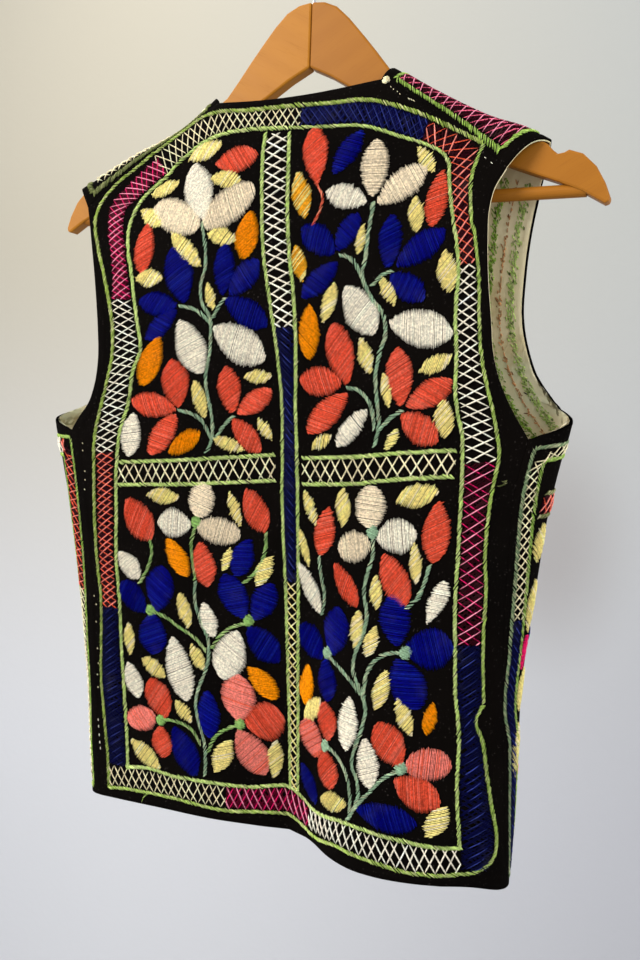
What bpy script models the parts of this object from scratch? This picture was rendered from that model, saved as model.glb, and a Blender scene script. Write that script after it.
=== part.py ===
"""Embroidered waistcoat on a wooden hanger, as solids.

The cloth is one hollow form, cut open at the neck, the armholes, the hem and
down the centre front.  A point of the cloth is named by two numbers: how far
round from the centre back it lies, along the cloth and positive towards the
wearer's left, and its height below the back neck.  A level section through
the garment is a rounded oblong: a reach to each side, and a depth that grows
with the drop below the shoulder ridge where the cloth lies on the hanger.

Metres, +Z up, +Y behind the wearer.  The origin is the inside top of the
hook, where a rail or a peg holds the hanger.
"""

import math

import bmesh
import bpy
import numpy as np
from mathutils import Matrix

# ------------------------------------------------------------ driving sizes
NECK_ORIGIN = (0.0098, 0.043, -0.145)  # centre back at neck level, from the hook
CLOTH = 0.0016  # outer cloth with its interfacing
LINING = 0.0010
LINING_GAP = 0.0005
SEAM_GAP = 0.0003
MIDDLE_Y = -0.043  # plane of the hanger inside the garment
FLATNESS = 3.6  # how flat a section's back and front are
END_ROUNDNESS = 2.0  # 2 turns the sides in a round fold
HEM = -0.568
UNDERARM = -0.256
NECK_HALF = 0.068
NECK_CORNER = -0.001  # height of the neck's corners
NECK_DIP = 0.0050
SEAM_BOW = 0.004  # rise of the shoulder seam's middle
FRONT_OPENING = 0.004  # from the centre front to each edge

SEAM_ROWS = 14
ARMHOLE_ROWS = 12
NECK_COLUMNS = 5
SIDE_COLUMNS = 5
FLAT_COLUMNS = 6
FAN = 0.6  # how soon the rows part where an armhole runs level
SIDE_SHARE = 0.30  # part of a front's width taken by the columns round the side
ARCH_ROWS = 8
SECTION_STEPS = 160
EDGE_STEPS = 200
SLOPE_STEP = 0.0004  # distance over which slopes of the cloth are measured
ARCH_STEP = 0.01  # and over the strips, as a share of half their width
ARCH_NARROWING = 1.4  # how soon a strip's ends leave the ridge
SHOULDER_NECK = 0.074  # centre to the strip's ridge at the neck
SHOULDER_END = {1: 0.203, -1: 0.186}  # and at the armhole, left and right
LEFT, RIGHT = 1, -1

# height | reach to the left | reach to the right | shift of the section backwards
SECTIONS = [
    (-0.600, 0.194, 0.173, -0.013),
    (-0.568, 0.194, 0.172, -0.013),
    (-0.520, 0.194, 0.175, -0.008),
    (-0.470, 0.194, 0.177, -0.004),
    (-0.430, 0.196, 0.178, -0.001),
    (-0.390, 0.200, 0.182, 0.000),
    (-0.350, 0.206, 0.187, 0.000),
    (-0.310, 0.214, 0.192, 0.000),
    (-0.275, 0.222, 0.199, 0.000),
    (-0.250, 0.228, 0.205, 0.000),
    (-0.220, 0.233, 0.212, 0.000),
    (-0.150, 0.240, 0.230, 0.000),
    (-0.050, 0.260, 0.250, 0.000),
    (0.030, 0.270, 0.260, 0.000),
]

# drop below the shoulder ridge | half the depth of the section there
OPENING = [
    (0.000, 0.0000),
    (0.002, 0.0060),
    (0.005, 0.0095),
    (0.010, 0.0125),
    (0.020, 0.0160),
    (0.040, 0.0210),
    (0.080, 0.0290),
    (0.140, 0.0370),
    (0.200, 0.0420),
    (0.260, 0.0420),
    (0.360, 0.0360),
    (0.460, 0.0310),
    (0.600, 0.0280),
]

# distance from the centre back | ridge height, left shoulder | right shoulder
RIDGE = [
    (0.000, 0.0190, 0.0260),
    (0.030, 0.0175, 0.0240),
    (0.066, 0.0110, 0.0150),
    (0.075, 0.0050, 0.0092),
    (0.085, -0.0025, 0.0033),
    (0.100, -0.0120, -0.0064),
    (0.120, -0.0200, -0.0185),
    (0.145, -0.0280, -0.0322),
    (0.170, -0.0380, -0.0425),
    (0.190, -0.0465, -0.0545),
    (0.210, -0.0555, -0.0660),
    (0.300, -0.0960, -0.1180),
]

# across the hem, left positive | how far the hem swings back | and the front hem forward
HEM_WAVE = [
    (-0.300, 0.020, 0.000),
    (-0.175, 0.029, 0.000),
    (-0.165, 0.029, -0.001),
    (-0.140, 0.033, -0.004),
    (-0.110, 0.037, -0.007),
    (-0.085, 0.037, -0.004),
    (-0.065, 0.033, 0.002),
    (-0.045, 0.022, 0.005),
    (-0.025, 0.005, 0.003),
    (-0.008, -0.006, 0.000),
    (0.020, -0.003, 0.000),
    (0.060, 0.002, 0.005),
    (0.120, 0.004, -0.007),
    (0.165, 0.010, -0.002),
    (0.190, 0.017, 0.000),
    (0.300, 0.014, 0.000),
]
WAVE_TOP = -0.14
WAVE_POWER = 1.5
BACK_SWING = (0.22, 0.84)  # round the section: the back's swing is full, and gone
FRONT_SWING = 0.67  # and the front's begins
CORNER_PLACE = 0.204  # centre back to where the hem hangs lowest at the side
CORNER_WIDTH = 0.030
CORNER_DROP = {1: 0.003, -1: 0.010}  # and how much lower, left and right
CORNER_POWER = 3.0

# height | centre back to the side seam, left | right
SIDE_SEAM = [
    (-0.600, 0.185, 0.200),
    (-0.568, 0.185, 0.199),
    (-0.530, 0.185, 0.190),
    (-0.480, 0.184, 0.183),
    (-0.430, 0.183, 0.178),
    (-0.380, 0.182, 0.175),
    (-0.330, 0.184, 0.175),
    (-0.290, 0.188, 0.177),
    (-0.256, 0.194, 0.184),
]

# armhole cut of the back: height | centre back to the edge, left | right
ARMHOLE_BACK = [
    (-0.256, 0.194, 0.184),
    (-0.245, 0.184, 0.177),
    (-0.235, 0.174, 0.171),
    (-0.220, 0.167, 0.164),
    (-0.200, 0.164, 0.158),
    (-0.175, 0.166, 0.155),
    (-0.150, 0.170, 0.152),
    (-0.120, 0.176, 0.150),
    (-0.100, 0.181, 0.150),
    (-0.085, 0.185, 0.153),
    (-0.072, 0.189, 0.160),
]

# armhole cut of the fronts, from the side seam up: height | centre front to the edge, left | right
ARMHOLE_FRONT = [
    (-0.2545, 0.248, 0.240),
    (-0.2515, 0.226, 0.220),
    (-0.2440, 0.209, 0.206),
    (-0.2330, 0.197, 0.194),
    (-0.2180, 0.185, 0.182),
    (-0.1980, 0.176, 0.172),
    (-0.1700, 0.170, 0.166),
    (-0.1400, 0.170, 0.167),
    (-0.1100, 0.174, 0.171),
    (-0.0850, 0.180, 0.177),
    (-0.0720, 0.184, 0.181),
]

# neckline of the fronts: height | centre front to the edge
NECKLINE_FRONT = [
    (-0.185, 0.004),
    (-0.160, 0.009),
    (-0.120, 0.026),
    (-0.080, 0.044),
    (-0.040, 0.061),
    (-0.006, 0.072),
]
FRONT_SEAM_DROP = (0.012, 0.028)  # front seam below the ridge, at the neck and at the armhole

# ------------------------------------------------------------ hanger sizes
HANGER_TILT = math.radians(1.3)  # right end down
WOOD = 0.011
WOOD_EDGE = 0.0032
CREST = -0.0785  # top of the wood below the inside of the hook
JOINT_GAP = 0.0003
BAR_RADIUS = 0.0045
BAR_DROP = -0.1495  # bar's axis below the crest
BAR_HALF = 0.206
WIRE = 0.0017  # radius of the hook's wire
HOOK_RADIUS = 0.0215
HOOK_SHANK = 0.015  # length screwed into the wood
HOOK_STEPS = 20
HOOK_TURN = (-8.0, 198.0)  # degrees round the crook, from its foot to its end
HOOK_END = (-0.0010, -0.0050)  # last step of the wire
ROD_SIDES = 24
WOOD_CORNER = math.radians(60)  # an edge sharper than this is rounded
WELD = 0.00002
OUTLINE_STEPS = (18, 12)  # along the top of the wood, and along its underside
FIT = 0.0003

# foot of the hook: sideways | height below the inside of the crook
HOOK_FOOT = [
    (0.0000, -0.0600),
    (0.0030, -0.0530),
    (0.0095, -0.0460),
    (0.0160, -0.0385),
    (0.0203, -0.0300),
]

# half outline of the wood: distance from the middle | height from the crest
WOOD_TOP = [
    (0.000, 0.0000),
    (0.010, -0.0012),
    (0.0225, -0.0075),
    (0.035, -0.0210),
    (0.049, -0.0375),
    (0.059, -0.0502),
    (0.069, -0.0624),
    (0.080, -0.0698),
    (0.090, -0.0765),
    (0.100, -0.0830),
    (0.110, -0.0888),
    (0.120, -0.0922),
    (0.145, -0.1018),
    (0.170, -0.1123),
    (0.179, -0.1178),
]
WOOD_NOTCH = [
    (0.1828, -0.1222),
    (0.1862, -0.1250),
    (0.1900, -0.1245),
    (0.1934, -0.1227),
]
WOOD_TIP = [
    (0.2028, -0.1260),
    (0.2120, -0.1350),
    (0.2182, -0.1460),
    (0.2218, -0.1555),
    (0.2215, -0.1588),
    (0.2183, -0.1597),
]
WOOD_UNDERSIDE = [
    (0.204, -0.1512),
    (0.186, -0.1432),
    (0.152, -0.1300),
    (0.120, -0.1130),
    (0.090, -0.0970),
    (0.050, -0.0750),
    (0.025, -0.0610),
    (0.006, -0.0495),
    (0.000, -0.0475),
]

# ------------------------------------------------------------ colours
BLACK_COTTON = (0.012, 0.010, 0.010)
CREAM_COTTON = (0.62, 0.58, 0.42)
PALE_WOOD = (0.62, 0.33, 0.12)
STEEL = (0.62, 0.62, 0.63)


# ------------------------------------------------------------ small tools
def clear_scene():
    for item in list(bpy.data.objects):
        bpy.data.objects.remove(item, do_unlink=True)


def collection(name):
    made = bpy.data.collections.new(name)
    bpy.context.scene.collection.children.link(made)
    return made


def material(name, colour, roughness, metallic=0.0):
    made = bpy.data.materials.new(name)
    made.use_nodes = True
    shader = made.node_tree.nodes["Principled BSDF"]
    shader.inputs["Base Color"].default_value = (*colour, 1.0)
    shader.inputs["Roughness"].default_value = roughness
    shader.inputs["Metallic"].default_value = metallic
    made.diffuse_color = (*colour, 1.0)
    return made


def smooth(rows, x, column=1):
    """Read a table between its rows along a smooth curve through them."""
    table = np.array(rows, float)
    knots, values = table[:, 0], table[:, column]
    slopes = np.gradient(values, knots)
    x = np.clip(x, knots[0], knots[-1])
    i = np.clip(np.searchsorted(knots, x) - 1, 0, len(knots) - 2)
    width = knots[i + 1] - knots[i]
    t = (x - knots[i]) / width
    start = (1 + 2 * t) * (1 - t) ** 2 * values[i] + t * (1 - t) ** 2 * width * slopes[i]
    end = t * t * (3 - 2 * t) * values[i + 1] + t * t * (t - 1) * width * slopes[i + 1]
    return start + end


def side_column(side):
    return 1 if side == LEFT else 2


# ------------------------------------------------------------ form of the cloth
def ridge(x):
    """Height of the shoulder ridge, blended from right to left across the neck."""
    across = np.abs(x)
    share = np.clip((x + NECK_HALF) / (2 * NECK_HALF), 0, 1)
    return smooth(RIDGE, across, 2) * (1 - share) + smooth(RIDGE, across, 1) * share


def half_depth(drop):
    """Half the garment's depth: it grows as the root of the drop near the ridge."""
    rooted = [(math.sqrt(fall), depth) for fall, depth in OPENING]
    return smooth(rooted, np.sqrt(np.maximum(drop, 0.0)))


def section(side, height):
    """Level sections from centre back to centre front, one a row: x and y."""
    height = np.asarray(height, float)[:, None]
    turn = np.linspace(0.0, 1.0, SECTION_STEPS + 1)[None, :]
    reach = smooth(SECTIONS, height, side_column(side))
    sine, cosine = np.sin(turn * math.pi), np.cos(turn * math.pi)
    x = side * reach * np.abs(sine) ** (2 / FLATNESS)
    back = np.sign(cosine) * np.abs(cosine) ** (2 / END_ROUNDNESS)
    y = MIDDLE_Y + smooth(SECTIONS, height, 3) + half_depth(ridge(x) - height) * back
    swing = np.maximum((WAVE_TOP - height) / (WAVE_TOP - HEM), 0.0) ** WAVE_POWER
    full, gone = BACK_SWING
    on_back = np.clip((gone - turn) / (gone - full), 0.0, 1.0)
    on_front = np.clip((turn - FRONT_SWING) / (1.0 - FRONT_SWING), 0.0, 1.0)
    y = y + swing * (smooth(HEM_WAVE, x, 1) * on_back + smooth(HEM_WAVE, x, 2) * on_front)
    return x, y


def lengths(x, y):
    """Distance along each section from the centre back."""
    steps = np.hypot(np.diff(x, axis=1), np.diff(y, axis=1))
    return np.concatenate([np.zeros((len(x), 1)), np.cumsum(steps, axis=1)], axis=1)


def half_girth(side, height):
    """Length of a section from centre back to centre front."""
    return lengths(*section(side, height))[:, -1]


def corner_sag(side, distance, height):
    """How much lower the cloth hangs towards the hem's corner at a side seam."""
    low = np.maximum((WAVE_TOP - height) / (WAVE_TOP - HEM), 0.0) ** CORNER_POWER
    near = np.exp(-(((distance - CORNER_PLACE) / CORNER_WIDTH) ** 2))
    return CORNER_DROP[side] * low * near


def cloth(round_from_back, height):
    """Points of the cloth, from their distance round and their height."""
    shape = np.shape(round_from_back)
    distance = np.ravel(round_from_back)
    level = np.ravel(height)
    x, y, z = np.zeros_like(distance), np.zeros_like(distance), np.zeros_like(distance)
    for side in (LEFT, RIGHT):
        mine = np.flatnonzero((distance >= 0) == (side == LEFT))
        if len(mine) == 0:
            continue
        z[mine] = level[mine] - corner_sag(side, np.abs(distance[mine]), level[mine])
        section_x, section_y = section(side, level[mine])
        along = lengths(section_x, section_y)
        for row, point in enumerate(mine):
            x[point] = np.interp(abs(distance[point]), along[row], section_x[row])
            y[point] = np.interp(abs(distance[point]), along[row], section_y[row])
    points = np.stack([x, y, z], axis=-1).reshape(shape + (3,))
    return points + np.array(NECK_ORIGIN)


def evenly(curve_s, curve_z, count):
    """Points of a curve at equal steps along it, ends included."""
    length = np.concatenate([[0.0], np.cumsum(np.hypot(np.diff(curve_s), np.diff(curve_z)))])
    wanted = np.linspace(0.0, length[-1], count + 1)
    return np.interp(wanted, length, curve_s), np.interp(wanted, length, curve_z)


def seam_edge(side):
    """Side seam from hem to underarm."""
    z = np.linspace(HEM, UNDERARM, SEAM_ROWS + 1)
    return smooth(SIDE_SEAM, z, side_column(side)), z


def back_edge(side):
    """Outer edge of the back from hem to shoulder: side seam, then armhole."""
    seam_s, seam_z = seam_edge(side)
    z = np.linspace(UNDERARM, ARMHOLE_BACK[-1][0], EDGE_STEPS)
    arm_s, arm_z = evenly(smooth(ARMHOLE_BACK, z, side_column(side)), z, ARMHOLE_ROWS)
    return np.concatenate([seam_s, arm_s[1:]]), np.concatenate([seam_z, arm_z[1:]])


def front_edge(side):
    """Outer edge of a front from hem to shoulder, as distance round from the back."""
    seam_s, seam_z = seam_edge(side)
    z = np.linspace(ARMHOLE_FRONT[0][0], ARMHOLE_FRONT[-1][0], EDGE_STEPS)
    arm = half_girth(side, z) - smooth(ARMHOLE_FRONT, z, side_column(side))
    curve_s = np.concatenate([[seam_s[-1]], arm])
    curve_z = np.concatenate([[UNDERARM], z])
    arm_s, arm_z = evenly(curve_s, curve_z, ARMHOLE_ROWS)
    return np.concatenate([seam_s, arm_s[1:]]), np.concatenate([seam_z, arm_z[1:]])


def front_columns():
    """Shares of the way from the side to the centre front, closer round the side."""
    turn = np.linspace(0.0, SIDE_SHARE, SIDE_COLUMNS + 1)
    flat = np.linspace(SIDE_SHARE, 1.0, FLAT_COLUMNS + 1)[1:]
    return np.concatenate([turn, flat])


def shoulder_columns():
    """Shares of the way from the neck corner to the armhole."""
    return 1.0 - front_columns()[::-1]


def back_top(side):
    """Top edge of the back from the centre to the armhole: neck, then shoulder seam."""
    edge_s, edge_z = back_edge(side)
    neck_s = np.linspace(0.0, NECK_HALF, NECK_COLUMNS + 1)[:-1]
    share = shoulder_columns()
    seam_s = NECK_HALF + share * (edge_s[-1] - NECK_HALF)
    neck_z = NECK_CORNER - NECK_DIP * (1 - (neck_s / NECK_HALF) ** 2)
    bow = SEAM_BOW * np.sin(math.pi * share)
    seam_z = NECK_CORNER + share * (edge_z[-1] - NECK_CORNER) + bow
    return np.concatenate([neck_s, seam_s]), np.concatenate([neck_z, seam_z])


def back_half(side):
    """Pattern of half the back: rows from the hem up, columns from the centre out."""
    edge_s, edge_z = back_edge(side)
    top_s, top_z = back_top(side)
    rise = (edge_z - HEM) / (edge_z[-1] - HEM)
    s = np.outer(edge_s, top_s / top_s[-1])
    z = HEM + np.outer(rise, top_z - HEM)
    return side * s, z


def back_pattern():
    left_s, left_z = back_half(LEFT)
    right_s, right_z = back_half(RIGHT)
    s = np.concatenate([right_s[:, :0:-1], left_s], axis=1)
    z = np.concatenate([right_z[:, :0:-1], left_z], axis=1)
    return s, z


def front_pattern(side):
    """Pattern of a front: rows from the hem up, columns from the side to the centre front."""
    edge_s, edge_z = front_edge(side)
    edge_s = edge_s + SEAM_GAP
    rows = len(edge_s)
    neck_z = smooth(RIDGE, NECKLINE_FRONT[-1][1], side_column(side)) - FRONT_SEAM_DROP[0]
    inner_z = HEM + (neck_z - HEM) * np.linspace(0.0, 1.0, rows)
    shift = (neck_z - NECKLINE_FRONT[-1][0]) * np.clip((inner_z - HEM) / -HEM, 0, 1) ** 4
    inner_t = np.maximum(smooth(NECKLINE_FRONT, inner_z - shift), FRONT_OPENING)
    inner_s = half_girth(side, inner_z) - inner_t
    share = front_columns()
    level = np.abs(np.gradient(edge_s)) / np.hypot(np.gradient(edge_s), np.gradient(edge_z))
    power = 1.0 - FAN * level[:, None]
    z = edge_z[:, None] + share[None, :] ** power * (inner_z - edge_z)[:, None]
    half = half_girth(side, np.ravel(z)).reshape(z.shape)
    edge_share = (half_girth(side, edge_z) - edge_s)[:, None]
    t = edge_share + share[None, :] * (inner_t[:, None] - edge_share)
    s = half - t
    s[:, 0] = edge_s
    s[:, -1] = inner_s
    return side * s, z


def shoulder_seams(side):
    """Seams of the shoulder strip with the back and the front, neck to armhole."""
    top_s, top_z = back_top(side)
    back_seam = cloth(side * top_s[NECK_COLUMNS:], top_z[NECK_COLUMNS:])
    pattern_s, pattern_z = front_pattern(side)
    front_seam = cloth(pattern_s[-1], pattern_z[-1])[::-1]
    return back_seam - np.array(NECK_ORIGIN), front_seam - np.array(NECK_ORIGIN)


def shoulder_strip(side, across):
    """Lines of the strip over the hanger: across runs from -1, the back seam, to 1."""
    back_seam, front_seam = shoulder_seams(side)
    share = shoulder_columns()
    ridge_x = SHOULDER_NECK + share * (SHOULDER_END[side] - SHOULDER_NECK)
    rows = []
    for step in across:
        seam = back_seam if step < 0 else front_seam
        seam_drop = ridge(seam[:, 0]) - seam[:, 2] - SEAM_GAP
        fullness = np.abs(seam[:, 1] - MIDDLE_Y) / half_depth(seam_drop)
        x = side * (ridge_x + (side * seam[:, 0] - ridge_x) * abs(step) ** ARCH_NARROWING)
        drop = seam_drop * step**2
        depth = half_depth(drop) * (1.0 + (fullness - 1.0) * step**2)
        y = MIDDLE_Y - math.copysign(1.0, step) * depth
        rows.append(np.stack([x, y, ridge(x) - drop], axis=-1))
    return np.array(rows) + np.array(NECK_ORIGIN)


def unit(vectors):
    return vectors / np.linalg.norm(vectors, axis=-1, keepdims=True)


def cloth_normals(round_from_back, height):
    """Outward unit normals of the cloth, from its slopes along and up."""
    step = SLOPE_STEP
    along = cloth(round_from_back + step, height) - cloth(round_from_back - step, height)
    up = cloth(round_from_back, height + step) - cloth(round_from_back, height - step)
    return unit(np.cross(up, along))


def strip_normals(side, across):
    """Outward unit normals of the shoulder strip."""
    step = ARCH_STEP
    over = shoulder_strip(side, across + step) - shoulder_strip(side, across - step)
    along = np.gradient(shoulder_strip(side, across), axis=1)
    normal = unit(np.cross(over, along))
    return normal * np.sign(normal[..., 2:])


# ------------------------------------------------------------ making the pieces
def sheet(name, outer, inner, finish, into):
    """A cloth piece: a grid with a wall, laid on its outer and inner points."""
    rows, columns = outer.shape[:2]
    bm = bmesh.new()
    bmesh.ops.create_grid(bm, x_segments=columns - 1, y_segments=rows - 1, size=0.5)
    bmesh.ops.triangulate(bm, faces=bm.faces, quad_method="FIXED")
    raised = bmesh.ops.extrude_face_region(bm, geom=bm.faces[:], use_keep_orig=True)
    for part in raised["geom"]:
        if isinstance(part, bmesh.types.BMVert):
            part.co.z = 1.0
    for vert in bm.verts:
        row = round((vert.co.y + 0.5) * (rows - 1))
        column = round((vert.co.x + 0.5) * (columns - 1))
        vert.co = (outer if vert.co.z > 0.5 else inner)[row, column]
    bmesh.ops.triangulate(bm, faces=bm.faces)
    bmesh.ops.recalc_face_normals(bm, faces=bm.faces)
    mesh = bpy.data.meshes.new(name)
    bm.to_mesh(mesh)
    bm.free()
    mesh.materials.append(finish)
    piece = bpy.data.objects.new(name, mesh)
    into.objects.link(piece)


def cloth_and_lining(name, pattern, finish, lining_finish, into):
    points = cloth(*pattern)
    normals = cloth_normals(*pattern)
    under = CLOTH + LINING_GAP
    sheet(name, points, points - normals * CLOTH, finish, into)
    lining_out = points - normals * under
    lining_in = points - normals * (under + LINING)
    sheet("lining_" + name, lining_out, lining_in, lining_finish, into)


def arm_outline():
    """Half the hanger's outline, from the crest round the tip and back under."""
    top_steps, under_steps = OUTLINE_STEPS
    x = np.linspace(0.0, WOOD_TOP[-1][0], top_steps + 1)
    top = list(zip(x, smooth(WOOD_TOP, x)))
    under_x = np.linspace(WOOD_UNDERSIDE[0][0], 0.0, under_steps + 1)
    under = list(zip(under_x, smooth(WOOD_UNDERSIDE[::-1], under_x)))
    return top + WOOD_NOTCH + WOOD_TIP + under


def hanger_place():
    """Where the hanger hangs: tilted about the inside of its hook."""
    return Matrix.Rotation(-HANGER_TILT, 4, "Y")


def hanger_arm(name, side, finish, into):
    """A flat arm: its outline as a filled curve with the wood's thickness."""
    curve = bpy.data.curves.new(name + "_outline", "CURVE")
    curve.dimensions = "2D"
    curve.fill_mode = "BOTH"
    curve.extrude = WOOD / 2
    outline = arm_outline()
    spline = curve.splines.new("POLY")
    spline.points.add(len(outline) - 1)
    for point, (x, z) in zip(spline.points, outline):
        point.co = (side * (x + JOINT_GAP / 2), CREST + z, 0.0, 1.0)
    spline.use_cyclic_u = True
    drawn = bpy.data.objects.new(name + "_drawn", curve)
    into.objects.link(drawn)
    bpy.context.view_layer.update()
    seen = drawn.evaluated_get(bpy.context.evaluated_depsgraph_get())
    mesh = bpy.data.meshes.new_from_object(seen)
    bpy.data.objects.remove(drawn, do_unlink=True)
    bm = bmesh.new()
    bm.from_mesh(mesh)
    bmesh.ops.remove_doubles(bm, verts=bm.verts, dist=WELD)
    bmesh.ops.rotate(bm, verts=bm.verts, matrix=Matrix.Rotation(math.pi / 2, 3, "X"))
    bmesh.ops.recalc_face_normals(bm, faces=bm.faces)
    bm.to_mesh(mesh)
    bm.free()
    mesh.materials.clear()
    mesh.materials.append(finish)
    piece = bpy.data.objects.new(name, mesh)
    into.objects.link(piece)
    piece.matrix_world = hanger_place()
    rounding = piece.modifiers.new("edges", "BEVEL")
    rounding.width = WOOD_EDGE
    rounding.segments = 2
    rounding.limit_method = "ANGLE"
    rounding.angle_limit = WOOD_CORNER
    return piece


def cutter_rod(name, radius, depth, place, into):
    bpy.ops.mesh.primitive_cylinder_add(vertices=ROD_SIDES, radius=radius, depth=depth)
    rod = bpy.context.object
    rod.name = name
    rod.matrix_world = place
    for owner in list(rod.users_collection):
        owner.objects.unlink(rod)
    into.objects.link(rod)
    return rod


def cut(piece, cutter, name):
    cutter.hide_render = True
    cutter.display_type = "WIRE"
    hole = piece.modifiers.new(name, "BOOLEAN")
    hole.operation = "DIFFERENCE"
    hole.solver = "EXACT"
    hole.object = cutter


def hook_route():
    """Shank, side bend and crook of the hook, as points in the hanger's plane."""
    middle = WIRE - HOOK_RADIUS
    points = [(0.0, CREST - HOOK_SHANK), (0.0, CREST)] + HOOK_FOOT
    for degrees in np.linspace(*HOOK_TURN, HOOK_STEPS + 1):
        angle = math.radians(degrees)
        points.append((HOOK_RADIUS * math.cos(angle), middle + HOOK_RADIUS * math.sin(angle)))
    points.append((points[-1][0] + HOOK_END[0], points[-1][1] + HOOK_END[1]))
    return points


def hook(finish, into):
    curve = bpy.data.curves.new("hook", "CURVE")
    curve.dimensions = "3D"
    curve.bevel_depth = WIRE
    curve.bevel_resolution = 2
    curve.use_fill_caps = True
    spline = curve.splines.new("POLY")
    route = hook_route()
    spline.points.add(len(route) - 1)
    for point, (x, z) in zip(spline.points, route):
        point.co = (x, 0.0, z, 1.0)
    curve.materials.append(finish)
    piece = bpy.data.objects.new("hook", curve)
    into.objects.link(piece)
    piece.matrix_world = hanger_place()
    return piece


def hanger(into, cutters):
    wood = material("pale_wood", PALE_WOOD, 0.45)
    steel = material("steel_wire", STEEL, 0.3, 1.0)
    place = hanger_place()
    across = Matrix.Rotation(math.pi / 2, 4, "Y")
    bar_place = place @ Matrix.Translation((0.0, 0.0, CREST + BAR_DROP)) @ across
    hole_place = place @ Matrix.Translation((0.0, 0.0, CREST))
    bar_hole = cutter_rod("bar_hole", BAR_RADIUS + FIT, 2 * (BAR_HALF + FIT), bar_place, cutters)
    shank_hole = cutter_rod("shank_hole", WIRE + FIT, 2 * (HOOK_SHANK + FIT), hole_place, cutters)
    for name, side in (("hanger_arm_left", LEFT), ("hanger_arm_right", RIGHT)):
        arm = hanger_arm(name, side, wood, into)
        cut(arm, bar_hole, "bar seat")
        cut(arm, shank_hole, "shank seat")
    bar = cutter_rod("trouser_bar", BAR_RADIUS, 2 * BAR_HALF, bar_place, into)
    bar.data.materials.append(wood)
    hook(steel, into)


def waistcoat(into):
    cotton = material("black_cotton", BLACK_COTTON, 0.85)
    cream = material("cream_cotton", CREAM_COTTON, 0.85)
    cloth_and_lining("back", back_pattern(), cotton, cream, into)
    for name, side in (("left", LEFT), ("right", RIGHT)):
        cloth_and_lining("front_" + name, front_pattern(side), cotton, cream, into)
        across = np.linspace(-1.0, 1.0, ARCH_ROWS + 1)
        points = shoulder_strip(side, across)
        under = points - strip_normals(side, across) * CLOTH
        sheet("shoulder_" + name, points, under, cotton, into)


def main():
    clear_scene()
    pieces = collection("embroidered_waistcoat")
    cutters = collection("cutters")
    waistcoat(pieces)
    hanger(pieces, cutters)


main()
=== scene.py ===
"""Embroidered waistcoat on a wooden hanger: cloth, lining, needlework and finishes.

The cloth pieces and every stitch lie on one form, the same one that the solids
follow.  A point of the cloth is named by its distance round from the centre
back, positive towards the wearer's left, and its height below the back neck.
Places and sizes of motifs are in millimetres, and everything else is in metres.
"""

import math

import bpy
import numpy as np
from mathutils import Matrix


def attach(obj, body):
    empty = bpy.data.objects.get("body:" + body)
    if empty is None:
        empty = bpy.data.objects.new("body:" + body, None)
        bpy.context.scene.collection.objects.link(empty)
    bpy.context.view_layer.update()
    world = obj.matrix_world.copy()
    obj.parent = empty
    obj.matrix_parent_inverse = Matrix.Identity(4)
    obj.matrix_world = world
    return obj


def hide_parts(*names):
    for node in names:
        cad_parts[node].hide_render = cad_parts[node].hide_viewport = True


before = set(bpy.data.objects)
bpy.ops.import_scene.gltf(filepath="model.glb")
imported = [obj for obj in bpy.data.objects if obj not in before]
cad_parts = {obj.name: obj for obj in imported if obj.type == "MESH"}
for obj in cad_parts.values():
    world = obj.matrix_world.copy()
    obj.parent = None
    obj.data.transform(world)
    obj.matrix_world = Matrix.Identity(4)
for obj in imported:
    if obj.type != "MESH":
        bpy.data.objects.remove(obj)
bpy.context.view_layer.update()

MM = 0.001
LEFT, RIGHT = 1, -1
chance = np.random.default_rng(11)

# ------------------------------------------------------------ form of the cloth
NECK_ORIGIN = np.array([0.0098, 0.043, -0.145])  # centre back at neck level, from the hook
CLOTH = 0.0016
LINING = 0.0010
LINING_GAP = 0.0005
SEAM_GAP = 0.0003
MIDDLE_Y = -0.043
FLATNESS = 3.6
END_ROUNDNESS = 2.0
HEM = -0.568
UNDERARM = -0.256
NECK_HALF = 0.068
NECK_CORNER = -0.001
NECK_DIP = 0.0050
SEAM_BOW = 0.004
FRONT_OPENING = 0.004
FAN = 0.6
SIDE_SHARE = 0.30
SECTION_STEPS = 160
EDGE_STEPS = 200
ARCH_STEP = 0.01
ARCH_NARROWING = 1.4
SHOULDER_NECK = 0.074
SHOULDER_END = {LEFT: 0.203, RIGHT: 0.186}

# height | reach to the left | reach to the right | shift of the section backwards
SECTIONS = [
    (-0.600, 0.194, 0.173, -0.013),
    (-0.568, 0.194, 0.172, -0.013),
    (-0.520, 0.194, 0.175, -0.008),
    (-0.470, 0.194, 0.177, -0.004),
    (-0.430, 0.196, 0.178, -0.001),
    (-0.390, 0.200, 0.182, 0.000),
    (-0.350, 0.206, 0.187, 0.000),
    (-0.310, 0.214, 0.192, 0.000),
    (-0.275, 0.222, 0.199, 0.000),
    (-0.250, 0.228, 0.205, 0.000),
    (-0.220, 0.233, 0.212, 0.000),
    (-0.150, 0.240, 0.230, 0.000),
    (-0.050, 0.260, 0.250, 0.000),
    (0.030, 0.270, 0.260, 0.000),
]

# drop below the shoulder ridge | half the depth of the section there
OPENING = [
    (0.000, 0.0000),
    (0.002, 0.0060),
    (0.005, 0.0095),
    (0.010, 0.0125),
    (0.020, 0.0160),
    (0.040, 0.0210),
    (0.080, 0.0290),
    (0.140, 0.0370),
    (0.200, 0.0420),
    (0.260, 0.0420),
    (0.360, 0.0360),
    (0.460, 0.0310),
    (0.600, 0.0280),
]

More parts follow.
